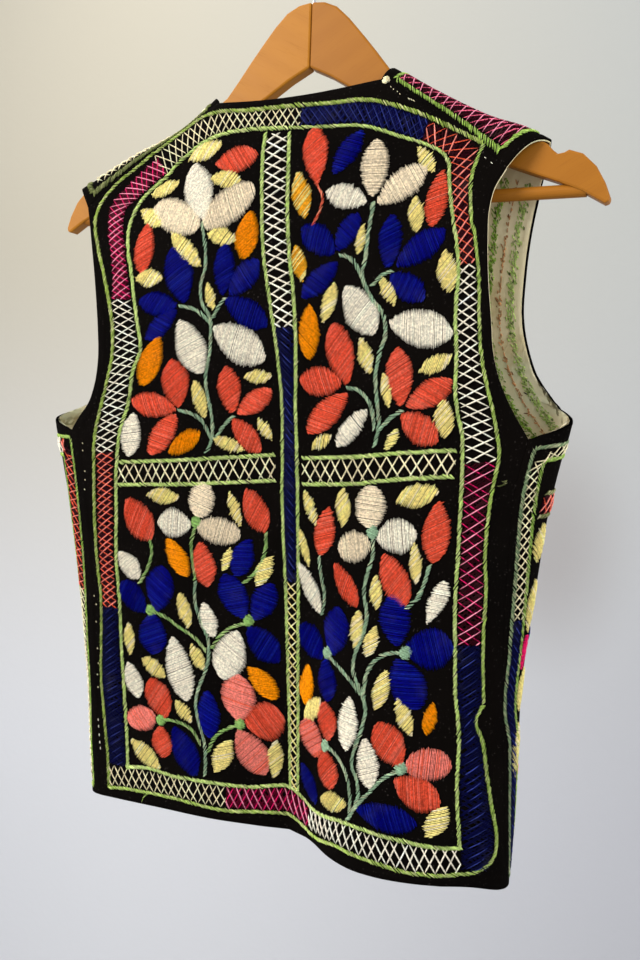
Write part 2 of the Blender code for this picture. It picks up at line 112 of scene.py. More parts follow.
# distance from the centre back | ridge height, left shoulder | right shoulder
RIDGE = [
    (0.000, 0.0190, 0.0260),
    (0.030, 0.0175, 0.0240),
    (0.066, 0.0110, 0.0150),
    (0.075, 0.0050, 0.0092),
    (0.085, -0.0025, 0.0033),
    (0.100, -0.0120, -0.0064),
    (0.120, -0.0200, -0.0185),
    (0.145, -0.0280, -0.0322),
    (0.170, -0.0380, -0.0425),
    (0.190, -0.0465, -0.0545),
    (0.210, -0.0555, -0.0660),
    (0.300, -0.0960, -0.1180),
]

# across the hem, left positive | how far the hem swings back | and the front hem forward
HEM_WAVE = [
    (-0.300, 0.020, 0.000),
    (-0.175, 0.029, 0.000),
    (-0.165, 0.029, -0.001),
    (-0.140, 0.033, -0.004),
    (-0.110, 0.037, -0.007),
    (-0.085, 0.037, -0.004),
    (-0.065, 0.033, 0.002),
    (-0.045, 0.022, 0.005),
    (-0.025, 0.005, 0.003),
    (-0.008, -0.006, 0.000),
    (0.020, -0.003, 0.000),
    (0.060, 0.002, 0.005),
    (0.120, 0.004, -0.007),
    (0.165, 0.010, -0.002),
    (0.190, 0.017, 0.000),
    (0.300, 0.014, 0.000),
]
WAVE_TOP = -0.14
WAVE_POWER = 1.5
BACK_SWING = (0.22, 0.84)
FRONT_SWING = 0.67
CORNER_PLACE = 0.204
CORNER_WIDTH = 0.030
CORNER_DROP = {LEFT: 0.003, RIGHT: 0.010}
CORNER_POWER = 3.0

# height | centre back to the side seam, left | right
SIDE_SEAM = [
    (-0.600, 0.185, 0.200),
    (-0.568, 0.185, 0.199),
    (-0.530, 0.185, 0.190),
    (-0.480, 0.184, 0.183),
    (-0.430, 0.183, 0.178),
    (-0.380, 0.182, 0.175),
    (-0.330, 0.184, 0.175),
    (-0.290, 0.188, 0.177),
    (-0.256, 0.194, 0.184),
]

# armhole cut of the back: height | centre back to the edge, left | right
ARMHOLE_BACK = [
    (-0.256, 0.194, 0.184),
    (-0.245, 0.184, 0.177),
    (-0.235, 0.174, 0.171),
    (-0.220, 0.167, 0.164),
    (-0.200, 0.164, 0.158),
    (-0.175, 0.166, 0.155),
    (-0.150, 0.170, 0.152),
    (-0.120, 0.176, 0.150),
    (-0.100, 0.181, 0.150),
    (-0.085, 0.185, 0.153),
    (-0.072, 0.189, 0.160),
]

# armhole cut of the fronts, from the side seam up: height | centre front to the edge, left | right
ARMHOLE_FRONT = [
    (-0.2545, 0.248, 0.240),
    (-0.2515, 0.226, 0.220),
    (-0.2440, 0.209, 0.206),
    (-0.2330, 0.197, 0.194),
    (-0.2180, 0.185, 0.182),
    (-0.1980, 0.176, 0.172),
    (-0.1700, 0.170, 0.166),
    (-0.1400, 0.170, 0.167),
    (-0.1100, 0.174, 0.171),
    (-0.0850, 0.180, 0.177),
    (-0.0720, 0.184, 0.181),
]

# neckline of the fronts: height | centre front to the edge
NECKLINE_FRONT = [
    (-0.185, 0.004),
    (-0.160, 0.009),
    (-0.120, 0.026),
    (-0.080, 0.044),
    (-0.040, 0.061),
    (-0.006, 0.072),
]
FRONT_SEAM_DROP = 0.012  # front seam below the ridge, at the neck

# soft creases: round, height of one end | and of the other | half width | depth, out positive
CREASES = [
    (150, -250, 92, -330, 13, -1.6),
    (158, -225, 120, -190, 10, 1.2),
    (-148, -235, -100, -300, 12, -1.5),
    (-152, -200, -118, -150, 9, 1.1),
    (60, -330, 42, -540, 16, -1.3),
    (96, -400, 104, -560, 14, 1.4),
    (-60, -330, -52, -470, 15, 1.2),
    (-118, -350, -132, -560, 15, -1.6),
    (168, -330, 176, -520, 9, -1.2),
    (30, -60, 12, -230, 15, -0.9),
    (-72, -70, -60, -240, 14, 0.9),
    (120, -90, 88, -150, 12, 1.0),
    (232, -290, 250, -540, 14, -1.8),
    (300, -230, 282, -470, 16, 1.7),
    (352, -270, 330, -560, 15, -1.5),
    (290, -120, 330, -230, 13, -1.3),
    (-228, -300, -238, -530, 13, -1.6),
    (-282, -240, -300, -500, 15, 1.5),
    (-340, -250, -322, -540, 15, -1.7),
    (-270, -130, -310, -240, 12, 1.2),
]
TURNED_EDGE = 0.0065  # width of the turning sewn under at every edge
TURNED_RISE = 0.0005
TURNED_SLOPE = 0.0015

# ------------------------------------------------------------ reading tables
LAST_CELL = 1.001  # keeps a reading inside a grid's last cell


def smooth(rows, x, column=1):
    """Read a table between its rows along cubic pieces that keep the mean slope at each row."""
    table = np.array(rows, float)
    knots, values = table[:, 0], table[:, column]
    slopes = np.gradient(values, knots)
    x = np.clip(x, knots[0], knots[-1])
    i = np.clip(np.searchsorted(knots, x) - 1, 0, len(knots) - 2)
    width = knots[i + 1] - knots[i]
    t = (x - knots[i]) / width
    start = (1 + 2 * t) * (1 - t) ** 2 * values[i] + t * (1 - t) ** 2 * width * slopes[i]
    end = t * t * (3 - 2 * t) * values[i + 1] + t * t * (t - 1) * width * slopes[i + 1]
    return start + end


def side_column(side):
    """Where a table keeps a side's values."""
    return 1 if side == LEFT else 2


def mm(rows):
    """Values typed in millimetres, in metres."""
    return np.array(rows) * MM


def read_grid(table, row, column):
    """A grid's entry at a place between its rows and columns, from the four nearest."""
    row, column = (np.clip(place, 0, count - LAST_CELL)
                   for place, count in zip((row, column), table.shape))
    low, near = row.astype(int), column.astype(int)
    rise, part = (row - low)[..., None], (column - near)[..., None]
    below = table[low, near] * (1 - part) + table[low, near + 1] * part
    above = table[low + 1, near] * (1 - part) + table[low + 1, near + 1] * part
    return below * (1 - rise) + above * rise


def unit(vectors):
    return vectors / np.maximum(np.linalg.norm(vectors, axis=-1, keepdims=True), 1e-12)


def running_length(points):
    """Distance along a line of points from its first one."""
    steps = np.linalg.norm(np.diff(points, axis=0), axis=-1)
    return np.concatenate([[0.0], np.cumsum(steps)])


def ridge(x):
    """Height of the shoulder ridge: the left and right tables, blended in step across the neck."""
    across = np.abs(x)
    share = np.clip((x + NECK_HALF) / (2 * NECK_HALF), 0, 1)
    return smooth(RIDGE, across, 2) * (1 - share) + smooth(RIDGE, across, 1) * share


def half_depth(drop):
    """Half the garment's depth: read against the root of the drop below the ridge."""
    rooted = [(math.sqrt(fall), depth) for fall, depth in OPENING]
    return smooth(rooted, np.sqrt(np.maximum(drop, 0.0)))


def section(side, height):
    """Level sections, one a row: x = reach |sin a|^(2/flatness), y = middle + depth cos a + swing."""
    height = np.asarray(height, float)[:, None]
    turn = np.linspace(0.0, 1.0, SECTION_STEPS + 1)[None, :]
    reach = smooth(SECTIONS, height, side_column(side))
    sine, cosine = np.sin(turn * math.pi), np.cos(turn * math.pi)
    x = side * reach * np.abs(sine) ** (2 / FLATNESS)
    back = np.sign(cosine) * np.abs(cosine) ** (2 / END_ROUNDNESS)
    y = MIDDLE_Y + smooth(SECTIONS, height, 3) + half_depth(ridge(x) - height) * back
    swing = np.maximum((WAVE_TOP - height) / (WAVE_TOP - HEM), 0.0) ** WAVE_POWER
    full, gone = BACK_SWING
    on_back = np.clip((gone - turn) / (gone - full), 0.0, 1.0)
    on_front = np.clip((turn - FRONT_SWING) / (1.0 - FRONT_SWING), 0.0, 1.0)
    y = y + swing * (smooth(HEM_WAVE, x, 1) * on_back + smooth(HEM_WAVE, x, 2) * on_front)
    return x, y


def lengths(x, y):
    """Distance along each section from the centre back."""
    steps = np.hypot(np.diff(x, axis=1), np.diff(y, axis=1))
    return np.concatenate([np.zeros((len(x), 1)), np.cumsum(steps, axis=1)], axis=1)


def corner_sag(side, distance, height):
    """How much lower the hem's corner hangs: a bell round the side seam, growing downwards."""
    low = np.maximum((WAVE_TOP - height) / (WAVE_TOP - HEM), 0.0) ** CORNER_POWER
    near = np.exp(-(((distance - CORNER_PLACE) / CORNER_WIDTH) ** 2))
    return CORNER_DROP[side] * low * near


def crease_relief(round_from_back, height):
    """Sum of soft troughs and ridges: a bell across each line, fading as a half sine along it."""
    relief = np.zeros(np.shape(round_from_back))
    for row in CREASES:
        start, end = mm(row[0:2]), mm(row[2:4])
        along = end - start
        length = np.hypot(*along)
        dx, dz = round_from_back - start[0], height - start[1]
        place = (dx * along[0] + dz * along[1]) / length**2
        off = (dx * along[1] - dz * along[0]) / length
        weight = np.sin(np.clip(place, 0.0, 1.0) * math.pi)
        relief = relief + row[5] * MM * weight * np.exp(-((off / (row[4] * MM)) ** 2))
    return relief


TABLE_STEP = 0.001
TABLE_HEIGHTS = np.arange(-0.600, 0.0305, TABLE_STEP)
TABLE_REACH = 0.46


def form_table(side):
    """Points and outward normals of one side, at even steps round and up."""
    x, y = section(side, TABLE_HEIGHTS)
    along = lengths(x, y)
    steps = np.arange(0.0, TABLE_REACH, TABLE_STEP)
    px = np.array([np.interp(steps, a, b) for a, b in zip(along, x)])
    py = np.array([np.interp(steps, a, b) for a, b in zip(along, y)])
    pz = TABLE_HEIGHTS[:, None] - corner_sag(side, steps[None, :], TABLE_HEIGHTS[:, None])
    points = np.stack([px, py, pz], axis=-1) + NECK_ORIGIN
    up = np.gradient(points, axis=0)
    onward = np.gradient(points, axis=1) * side
    return points, unit(np.cross(up, onward)), along[:, -1]


FORM = {side: form_table(side) for side in (LEFT, RIGHT)}


def half_girth(side, height):
    """Length of a level section from centre back to centre front."""
    return np.interp(height, TABLE_HEIGHTS, FORM[side][2])


def cloth(round_from_back, height):
    """Points and normals of the creased cloth."""
    distance, level = np.broadcast_arrays(np.asarray(round_from_back, float), height)
    points = np.zeros(distance.shape + (3,))
    normals = np.zeros(distance.shape + (3,))
    row, column = (level - TABLE_HEIGHTS[0]) / TABLE_STEP, np.abs(distance) / TABLE_STEP
    for side in (LEFT, RIGHT):
        mine = (distance >= 0) == (side == LEFT)
        for table, into in zip(FORM[side], (points, normals)):
            into[mine] = read_grid(table, row, column)[mine]
    normals = unit(normals)
    return points + normals * crease_relief(distance, level)[..., None], normals


# ------------------------------------------------------------ cut of the pieces
SEAM_ROWS = 80
ARMHOLE_ROWS = 60
NECK_COLUMNS = 18
SIDE_COLUMNS = 22
FLAT_COLUMNS = 26
ARCH_LINES = 24
ARCH = np.linspace(-1.0, 1.0, 2 * ARCH_LINES + 1)  # over the strip, from the back seam to the front's


def evenly(curve_s, curve_z, count):
    """Points of a curve at equal steps along it, ends included."""
    length = running_length(np.column_stack([curve_s, curve_z]))
    wanted = np.linspace(0.0, length[-1], count + 1)
    return np.interp(wanted, length, curve_s), np.interp(wanted, length, curve_z)


def seam_edge(side):
    """Side seam from hem to underarm."""
    z = np.linspace(HEM, UNDERARM, SEAM_ROWS + 1)
    return smooth(SIDE_SEAM, z, side_column(side)), z


def back_armhole(side):
    """Armhole of the back from the underarm up, as distance round from the back."""
    z = np.linspace(UNDERARM, ARMHOLE_BACK[-1][0], EDGE_STEPS)
    return evenly(smooth(ARMHOLE_BACK, z, side_column(side)), z, ARMHOLE_ROWS)


def front_armhole(side):
    """Armhole of a front from the underarm up, as distance round from the back."""
    z = np.linspace(ARMHOLE_FRONT[0][0], ARMHOLE_FRONT[-1][0], EDGE_STEPS)
    arm = half_girth(side, z) - smooth(ARMHOLE_FRONT, z, side_column(side))
    seam_s, _ = seam_edge(side)
    curve_s = np.concatenate([[seam_s[-1]], arm])
    curve_z = np.concatenate([[UNDERARM], z])
    return evenly(curve_s, curve_z, ARMHOLE_ROWS)


def outer_edge(side, armhole):
    """Side seam and armhole joined, hem to shoulder."""
    seam_s, seam_z = seam_edge(side)
    arm_s, arm_z = armhole(side)
    return np.concatenate([seam_s, arm_s[1:]]), np.concatenate([seam_z, arm_z[1:]])


def front_columns():
    """Shares of the way from the side to the centre front, closer round the side."""
    turn = np.linspace(0.0, SIDE_SHARE, SIDE_COLUMNS + 1)
    flat = np.linspace(SIDE_SHARE, 1.0, FLAT_COLUMNS + 1)[1:]
    return np.concatenate([turn, flat])


def shoulder_columns():
    """Shares of the way from the neck corner to the armhole."""
    return 1.0 - front_columns()[::-1]


def back_top(side):
    """Top edge of the back: the neck as a shallow parabola, then the shoulder seam as a low sine."""
    edge_s, edge_z = outer_edge(side, back_armhole)
    neck_s = np.linspace(0.0, NECK_HALF, NECK_COLUMNS + 1)[:-1]
    share = shoulder_columns()
    seam_s = NECK_HALF + share * (edge_s[-1] - NECK_HALF)
    neck_z = NECK_CORNER - NECK_DIP * (1 - (neck_s / NECK_HALF) ** 2)
    bow = SEAM_BOW * np.sin(math.pi * share)
    seam_z = NECK_CORNER + share * (edge_z[-1] - NECK_CORNER) + bow
    return np.concatenate([neck_s, seam_s]), np.concatenate([neck_z, seam_z])


def back_half(side):
    """Half the back: rows rise from the hem in proportion, columns spread from the centre."""
    edge_s, edge_z = outer_edge(side, back_armhole)
    top_s, top_z = back_top(side)
    rise = (edge_z - HEM) / (edge_z[-1] - HEM)
    s = np.outer(edge_s, top_s / top_s[-1])
    z = HEM + np.outer(rise, top_z - HEM)
    return side * s, z


def back_pattern():
    """The whole back: its right half turned round, then its left half."""
    left_s, left_z = back_half(LEFT)
    right_s, right_z = back_half(RIGHT)
    s = np.concatenate([right_s[:, :0:-1], left_s], axis=1)
    z = np.concatenate([right_z[:, :0:-1], left_z], axis=1)
    return s, z


def front_pattern(side):
    """A front: each row runs from its outer edge to the neckline or centre front."""
    edge_s, edge_z = outer_edge(side, front_armhole)
    edge_s = edge_s + SEAM_GAP
    rows = len(edge_s)
    neck_z = smooth(RIDGE, NECKLINE_FRONT[-1][1], side_column(side)) - FRONT_SEAM_DROP
    inner_z = HEM + (neck_z - HEM) * np.linspace(0.0, 1.0, rows)
    shift = (neck_z - NECKLINE_FRONT[-1][0]) * np.clip((inner_z - HEM) / -HEM, 0, 1) ** 4
    inner_t = np.maximum(smooth(NECKLINE_FRONT, inner_z - shift), FRONT_OPENING)
    inner_s = half_girth(side, inner_z) - inner_t
    share = front_columns()
    level = np.abs(np.gradient(edge_s)) / np.hypot(np.gradient(edge_s), np.gradient(edge_z))
    power = 1.0 - FAN * level[:, None]
    z = edge_z[:, None] + share[None, :] ** power * (inner_z - edge_z)[:, None]
    edge_share = (half_girth(side, edge_z) - edge_s)[:, None]
    s = half_girth(side, z) - (edge_share + share[None, :] * (inner_t[:, None] - edge_share))
    s[:, 0] = edge_s
    s[:, -1] = inner_s
    return side * s, z


def shoulder_seams(side):
    """Seams of the shoulder strip with the back and the front, neck to armhole."""
    top_s, top_z = back_top(side)
    back_seam, _ = cloth(side * top_s[NECK_COLUMNS:], top_z[NECK_COLUMNS:])
    pattern_s, pattern_z = front_pattern(side)
    front_seam, _ = cloth(pattern_s[-1, ::-1], pattern_z[-1, ::-1])
    return back_seam - NECK_ORIGIN, front_seam - NECK_ORIGIN


def shoulder_strip(side, across):
    """Lines of the strip over the hanger: across runs from -1, the back seam, to 1."""
    back_seam, front_seam = shoulder_seams(side)
    share = shoulder_columns()
    ridge_x = SHOULDER_NECK + share * (SHOULDER_END[side] - SHOULDER_NECK)
    rows = []
    for step in across:
        seam = back_seam if step < 0 else front_seam
        seam_drop = ridge(seam[:, 0]) - seam[:, 2] - SEAM_GAP
        fullness = np.abs(seam[:, 1] - MIDDLE_Y) / half_depth(seam_drop)
        x = side * (ridge_x + (side * seam[:, 0] - ridge_x) * abs(step) ** ARCH_NARROWING)
        drop = seam_drop * step**2
        depth = half_depth(drop) * (1.0 + (fullness - 1.0) * step**2)
        y = MIDDLE_Y - math.copysign(1.0, step) * depth
        rows.append(np.stack([x, y, ridge(x) - drop], axis=-1))
    return np.array(rows) + NECK_ORIGIN


def strip_surface(side):
    """Points of the shoulder strip, and outward unit normals from its slopes over and along."""
    points = shoulder_strip(side, ARCH)
    over = shoulder_strip(side, ARCH + ARCH_STEP) - shoulder_strip(side, ARCH - ARCH_STEP)
    normals = unit(np.cross(over, np.gradient(points, axis=1)))
    return points, normals * np.sign(normals[..., 2:])


# ------------------------------------------------------------ grounds that stitches lie on


def on_back(plan):
    """Back seen from behind: right of the centre, height."""
    return cloth(-plan[..., 0], plan[..., 1])


def on_front(side):
    """A front: distance from the centre front, height."""

    def ground(plan):
        return cloth(side * (half_girth(side, plan[..., 1]) - plan[..., 0]), plan[..., 1])

    return ground


def inside_of(ground):
    """The lining's inner face behind a ground, with normals turned inwards."""

    def behind(plan):
        points, normals = ground(plan)
        return points - normals * (CLOTH + LINING_GAP + LINING), -normals

    return behind


STRIP_LENGTH = 0.128
STRIP_SEAM = 0.001  # a strip's turned ends begin this far in
STRIP_WIDTHS = [(0.0, 0.018), (0.2, 0.022), (0.5, 0.028), (0.8, 0.032), (1.0, 0.034)]


def on_strip(side):
    """A shoulder strip: distance from its neck end, distance over the ridge, back negative."""
    surface = strip_surface(side)
    shares = shoulder_columns()

    def ground(plan):
        share = np.clip(plan[..., 0] / STRIP_LENGTH, 0.0, 1.0)
        step = np.clip(plan[..., 1] / smooth(STRIP_WIDTHS, share), -1.0, 1.0)
        row, column = (step + 1.0) * ARCH_LINES, np.interp(share, shares, np.arange(len(shares)))
        points, normals = (read_grid(table, row, column) for table in surface)
        return points, unit(normals)

    return ground


# ------------------------------------------------------------ meshes


def put_mesh(name, points, corners, finish, uv=None, colours=None):
    """A mesh from whole arrays: corners is a list of face tables, each with its own corner count."""
    mesh = bpy.data.meshes.new(name)
    mesh.vertices.add(len(points))
    mesh.vertices.foreach_set("co", np.ascontiguousarray(points, np.float32).ravel())
    loops = np.concatenate([table.ravel() for table in corners]).astype(np.int32)
    sizes = np.concatenate([np.full(len(table), table.shape[1]) for table in corners])
    mesh.loops.add(len(loops))
    mesh.loops.foreach_set("vertex_index", loops)
    mesh.polygons.add(len(sizes))
    starts = np.concatenate([[0], np.cumsum(sizes)[:-1]])
    mesh.polygons.foreach_set("loop_start", starts.astype(np.int32))
    mesh.polygons.foreach_set("use_smooth", np.ones(len(sizes), bool))
    if uv is not None:
        layer = mesh.uv_layers.new(name="plan")
        layer.data.foreach_set("uv", uv[loops].astype(np.float32).ravel())
    if colours is not None:
        tint = mesh.color_attributes.new("thread_colour", "FLOAT_COLOR", "POINT")
        tint.data.foreach_set("color", colours.astype(np.float32).ravel())
    mesh.update(calc_edges=True)
    mesh.validate()
    mesh.materials.append(finish)
    piece = bpy.data.objects.new(name, mesh)
    bpy.context.scene.collection.objects.link(piece)
    return piece


def grid_faces(rows, columns, first=0):
    """Quads of a grid of points, each turning the same way."""
    corner = first + np.arange(rows - 1)[:, None] * columns + np.arange(columns - 1)[None, :]
    corner = corner.ravel()
    return np.column_stack([corner, corner + 1, corner + columns + 1, corner + columns])


def rim_of(rows, columns):
    """Points round a grid's border, in the turning sense of its faces."""
    bottom = np.arange(columns)
    right = np.arange(1, rows) * columns + columns - 1
    top = (rows - 1) * columns + np.arange(columns - 2, -1, -1)
    left = np.arange(rows - 2, 0, -1) * columns
    return np.concatenate([bottom, right, top, left])


EDGE_ROUND = 0.6  # how far a cloth edge bulges, as a share of half the thickness


def wall(name, outer, inner, plan, finish):
    """A cloth wall: the outer grid, the inner grid behind it, and a rounded strip joining their rims."""
    rows, columns = outer.shape[:2]
    count = rows * columns
    rim = rim_of(rows, columns)
    flat_outer, flat_inner = outer.reshape(-1, 3), inner.reshape(-1, 3)
    middle = (flat_outer[rim] + flat_inner[rim]) / 2
    before, after = np.roll(rim, 1), np.roll(rim, -1)
    along = unit(flat_outer[after] - flat_outer[before])
    through = unit(flat_outer[rim] - flat_inner[rim])
    outward = unit(np.cross(along, through))
    face = grid_faces(rows, columns)
    first = flat_outer[face[0]]
    turned = np.dot(np.cross(first[1] - first[0], first[3] - first[0]), through[0]) < 0
    if turned:
        outward = -outward
    half = np.linalg.norm(flat_outer[rim] - flat_inner[rim], axis=1, keepdims=True) / 2
    middle = middle + outward * half * EDGE_ROUND
    points = np.concatenate([flat_outer, flat_inner, middle])
    edge = 2 * count + np.arange(len(rim))
    edge_after = np.roll(edge, -1)
    upper = np.column_stack([after, rim, edge, edge_after])
    lower = np.column_stack([edge_after, edge, rim + count, after + count])
    quads = np.concatenate([face, face[:, ::-1] + count, upper, lower])
    if turned:
        quads = quads[:, ::-1]
    uv = plan.reshape(-1, 2)
    uv = np.concatenate([uv, uv, uv[rim]])
    return put_mesh(name, points, [quads], finish, uv=uv)


def from_edge(s, z):
    """Distance of each point of a pattern from the pattern's nearest border."""
    rim = rim_of(*s.shape)
    border = np.column_stack([s.ravel()[rim], z.ravel()[rim]])
    flat = np.column_stack([s.ravel(), z.ravel()])
    nearest = np.full(len(flat), 1.0)
    for point in border[::2]:
        nearest = np.minimum(nearest, np.hypot(*(flat - point).T))
    return nearest.reshape(s.shape)


def turning(distance):
    """Rise of the turning sewn under at an edge: level, then a short slope down."""
    return TURNED_RISE * (1.0 - np.clip((distance - TURNED_EDGE) / TURNED_SLOPE, 0.0, 1.0))


def cloth_and_lining(name, pattern, outer_finish, lining_finish):
    """A piece of the garment and the lining behind it, both on the creased form."""
    s, z = pattern
    points, normals = cloth(s, z)
    plan = np.stack([s, z], axis=-1)
    raised = points + normals * turning(from_edge(s, z))[..., None]
    shell = wall(name + "_cloth", raised, points - normals * CLOTH, plan, outer_finish)
    gap = CLOTH + LINING_GAP
    pick = np.ix_(*(np.unique(np.append(np.arange(0, count, 2), count - 1)) for count in s.shape))
    lining_out = (points - normals * gap)[pick]
    lining_in = (points - normals * (gap + LINING))[pick]
    backing = wall(name + "_lining", lining_out, lining_in, plan[pick], lining_finish)
    return shell, backing


ASKEW = (0.31, 0.82, 0.48)  # a direction that no edge of the garment follows


def tube_faces(places, sides):
    """Quads of a tube: each ring of points joined to the next."""
    ring = np.arange(places - 1)[:, None] * sides
    here, after = np.arange(sides), (np.arange(sides) + 1) % sides
    corners = [ring + here, ring + after, ring + after + sides, ring + here + sides]
    return np.stack(corners, axis=-1).reshape(-1, 4)


def piping(name, lines, radius, finish, sides=8):
    """Round cords along lines of points."""
    points, quads, first = [], [], 0
    for line in lines:
        way = unit(np.gradient(line, axis=0))
        beside = unit(np.cross(way, ASKEW))
        above = np.cross(way, beside)
        turn = (np.arange(sides) * 2 * math.pi / sides)[None, :, None]
        ring = np.cos(turn) * beside[:, None, :] + np.sin(turn) * above[:, None, :]
        points.append((line[:, None, :] + radius * ring).reshape(-1, 3))
        quads.append(first + tube_faces(len(line), sides))
        first += len(line) * sides
    points = np.concatenate(points)
    return put_mesh(name, points, [np.concatenate(quads)], finish, uv=points[:, [0, 2]])


# ------------------------------------------------------------ stitches

RING_PLACES = np.array([0.0, 0.14, 0.5, 0.86, 1.0])
RING_GIRTHS = np.array([0.25, 0.85, 1.0, 0.85, 0.25])
RING_SIDES = 3
RING_ANGLES = math.pi / 2 + np.arange(RING_SIDES) * 2 * math.pi / RING_SIDES


class Needlework:
    """Stitches of one piece, gathered as arrays and made one mesh at the end."""

    def __init__(self, ground):
        self.ground = ground
        self.batches = []

    def sew(self, start, end, radius, rise, colour, uneven=0.10):
        """Stitches from start to end points, arched to their rise, each a shade of the colour."""
        count = len(start)
        if count == 0:
            return
        shade = 1.0 + chance.normal(0.0, uneven, (count, 1))
        tint = np.clip(np.broadcast_to(colour, (count, 3)) * shade, 0.0, 1.0)
        radius = np.broadcast_to(radius, count)
        rise = np.broadcast_to(rise, count)
        self.batches.append((start, end, radius, rise, tint))

    def mesh(self, name, finish):
        """Each stitch is a closed tube of five rings, pinched at both ends.

        It stands half its radius off the ground, and arches to its rise along a parabola.
        """
        start, end, radius, rise, tint = (np.concatenate(part) for part in zip(*self.batches))
        share = RING_PLACES[None, :, None]
        plan = start[:, None, :] + share * (end - start)[:, None, :]
        points, normals = self.ground(plan)
        lift = radius[:, None] * 0.5 + rise[:, None] * 4 * RING_PLACES * (1 - RING_PLACES)
        points = points + normals * lift[..., None]
        along = unit(np.gradient(points, axis=1))
        beside = unit(np.cross(normals, along))
        above = np.cross(along, beside)
        girth = (radius[:, None] * RING_GIRTHS)[..., None, None]
        turn = RING_ANGLES[:, None]
        ring = np.cos(turn) * beside[:, :, None, :] + np.sin(turn) * above[:, :, None, :]
        rings = points[:, :, None, :] + girth * ring
        count, places = len(start), len(RING_PLACES)
        first = np.arange(count) * places * RING_SIDES
        quads = (first[:, None, None] + tube_faces(places, RING_SIDES)).reshape(-1, 4)
        last = first + (places - 1) * RING_SIDES
        caps = np.concatenate([np.column_stack([first + 2, first + 1, first]),
                               np.column_stack([last, last + 1, last + 2])])
        colours = np.ones((count, places * RING_SIDES, 4))
        colours[..., :3] = tint[:, None, :]
        colours = colours.reshape(-1, 4)
        return put_mesh(name, rings.reshape(-1, 3), [quads, caps], finish, colours=colours)


ROUTE_STEP = 0.001


class Route:
    """A smooth line in the plan, read by distance along it."""

    def __init__(self, points, smooth_line=True):
        points = np.array(points, float)
        chord = running_length(points)
        if smooth_line:
            table = np.column_stack([chord, points])
            fine = np.linspace(0.0, chord[-1], max(2, int(chord[-1] / ROUTE_STEP)))
            points = np.column_stack([smooth(table, fine, 1), smooth(table, fine, 2)])
        self.points = points
        self.along = running_length(points)
        self.length = self.along[-1]

    def at(self, distance):
        x = np.interp(distance, self.along, self.points[:, 0])
        y = np.interp(distance, self.along, self.points[:, 1])
        return np.column_stack([x, y])

    def beside(self, distance):
        """Unit vectors to the left of the way along the line."""
        way = unit(self.at(distance + ROUTE_STEP) - self.at(distance - ROUTE_STEP))
        return np.column_stack([-way[:, 1], way[:, 0]])


# unevenness of the hand: of a line's stitches along it and across it, and of places in a band
ALONG_SPREAD, ACROSS_SPREAD, BAND_SPREAD = 0.2, 0.06, 0.06
ROPE_REACH = (0.32, 0.48)  # ends of a line's stitches off its middle, as shares of its width
ROPE_THREAD = 0.13  # radius of a line's thread, as a share of its width
GAP_SPREAD = 0.15
# marks of a line seen from its back: spread off the line and its limit, in shares of the width;
# length; mean slant and its spread, in shares of the length
MARK_SPREAD, MARK_LIMIT = 0.32, 0.6
MARK_LENGTH = (0.0012, 0.0034)
MARK_SLANT = (0.4, 0.3)


def rope(work, route, width, colour, stitch=0.0044, pitch=0.0012, rise=0.0005, weight=0.45):
    """Stem stitch: long slanting stitches, each starting beside the last; some are lightened towards
    cream as painted glints.
    """
    places = np.arange(-0.5 * stitch, route.length - 0.4 * stitch, pitch)
    places = places + chance.normal(0.0, pitch * ALONG_SPREAD, len(places))
    wander = chance.normal(0.0, width * ACROSS_SPREAD, (len(places), 1))
    reach = chance.uniform(*ROPE_REACH, (2, len(places), 1)) * width
    begin = np.clip(places, 0.0, route.length)
    finish = np.clip(places + stitch, 0.0, route.length)
    start = route.at(begin) + route.beside(begin) * (wander + reach[0])
    end = route.at(finish) + route.beside(finish) * (wander - reach[1])
    # painted glints: random stitches lightened towards the cream dye, standing in for highlights on the
    # thread
    glinted = chance.random((len(places), 1)) ** 3 * weight
    glinted = colour + (DYES["cream"] - colour) * glinted
    work.sew(start, end, width * ROPE_THREAD, rise, glinted, uneven=0.18)


def running_stitch(work, route, colour, stitch=0.0024, gap=0.004, radius=0.0004):
    """Small stitches in a row with gaps between them."""
    places = np.arange(0.0, max(route.length - stitch, 0.0) + 0.0001, stitch + gap)
    places = places + chance.normal(0.0, gap * GAP_SPREAD, len(places))
    work.sew(route.at(places), route.at(places + stitch), radius, rise=0.0003, colour=colour)


def scattered(work, route, width, colour, pitch):
    """Backs of a line of stitches, seen through the lining: short slanting marks, scattered."""
    places = np.sort(chance.uniform(0.0, route.length - 0.003, int(route.length / pitch)))
    off = chance.normal(0.0, MARK_SPREAD, (len(places), 1))
    off = np.clip(off, -MARK_LIMIT, MARK_LIMIT) * width
    length = chance.uniform(*MARK_LENGTH, len(places))
    slant = chance.normal(*MARK_SLANT, (len(places), 1)) * length[:, None]
    start = route.at(places) + route.beside(places) * off
    end = route.at(places + length) + route.beside(places + length) * (off + slant)
    work.sew(start, end, radius=0.0005, rise=0.0001, colour=colour, uneven=0.35)


class Band:
    """A strip of ground between two lines: its middle line and the half width at each place."""

    def __init__(self, one_side, other_side):
        one_side, other_side = np.array(one_side, float), np.array(other_side, float)
        self.middle = Route((one_side + other_side) / 2)
        stations = running_length((one_side + other_side) / 2)
        self.half = np.column_stack([stations, (one_side - other_side) / 2])
        self.length = self.middle.length

    def at(self, distance, across):
        """Points at a distance along and a share of the half width across."""
        scaled = distance * self.half[-1, 0] / self.length
        half_x, half_y = smooth(self.half, scaled, 1), smooth(self.half, scaled, 2)
        return self.middle.at(distance) + np.column_stack([half_x, half_y]) * across[:, None]


FILL = 0.88  # share of a band's width that its stitches take up
SHORTEST = 0.15  # least share of a crossing stitch that is still sewn at a band's end
GROUND_INSET = 0.04  # how much less of the width the ground under a lattice takes up
RAGGED = 0.035  # unevenness of a band's edges, as a share of its half width


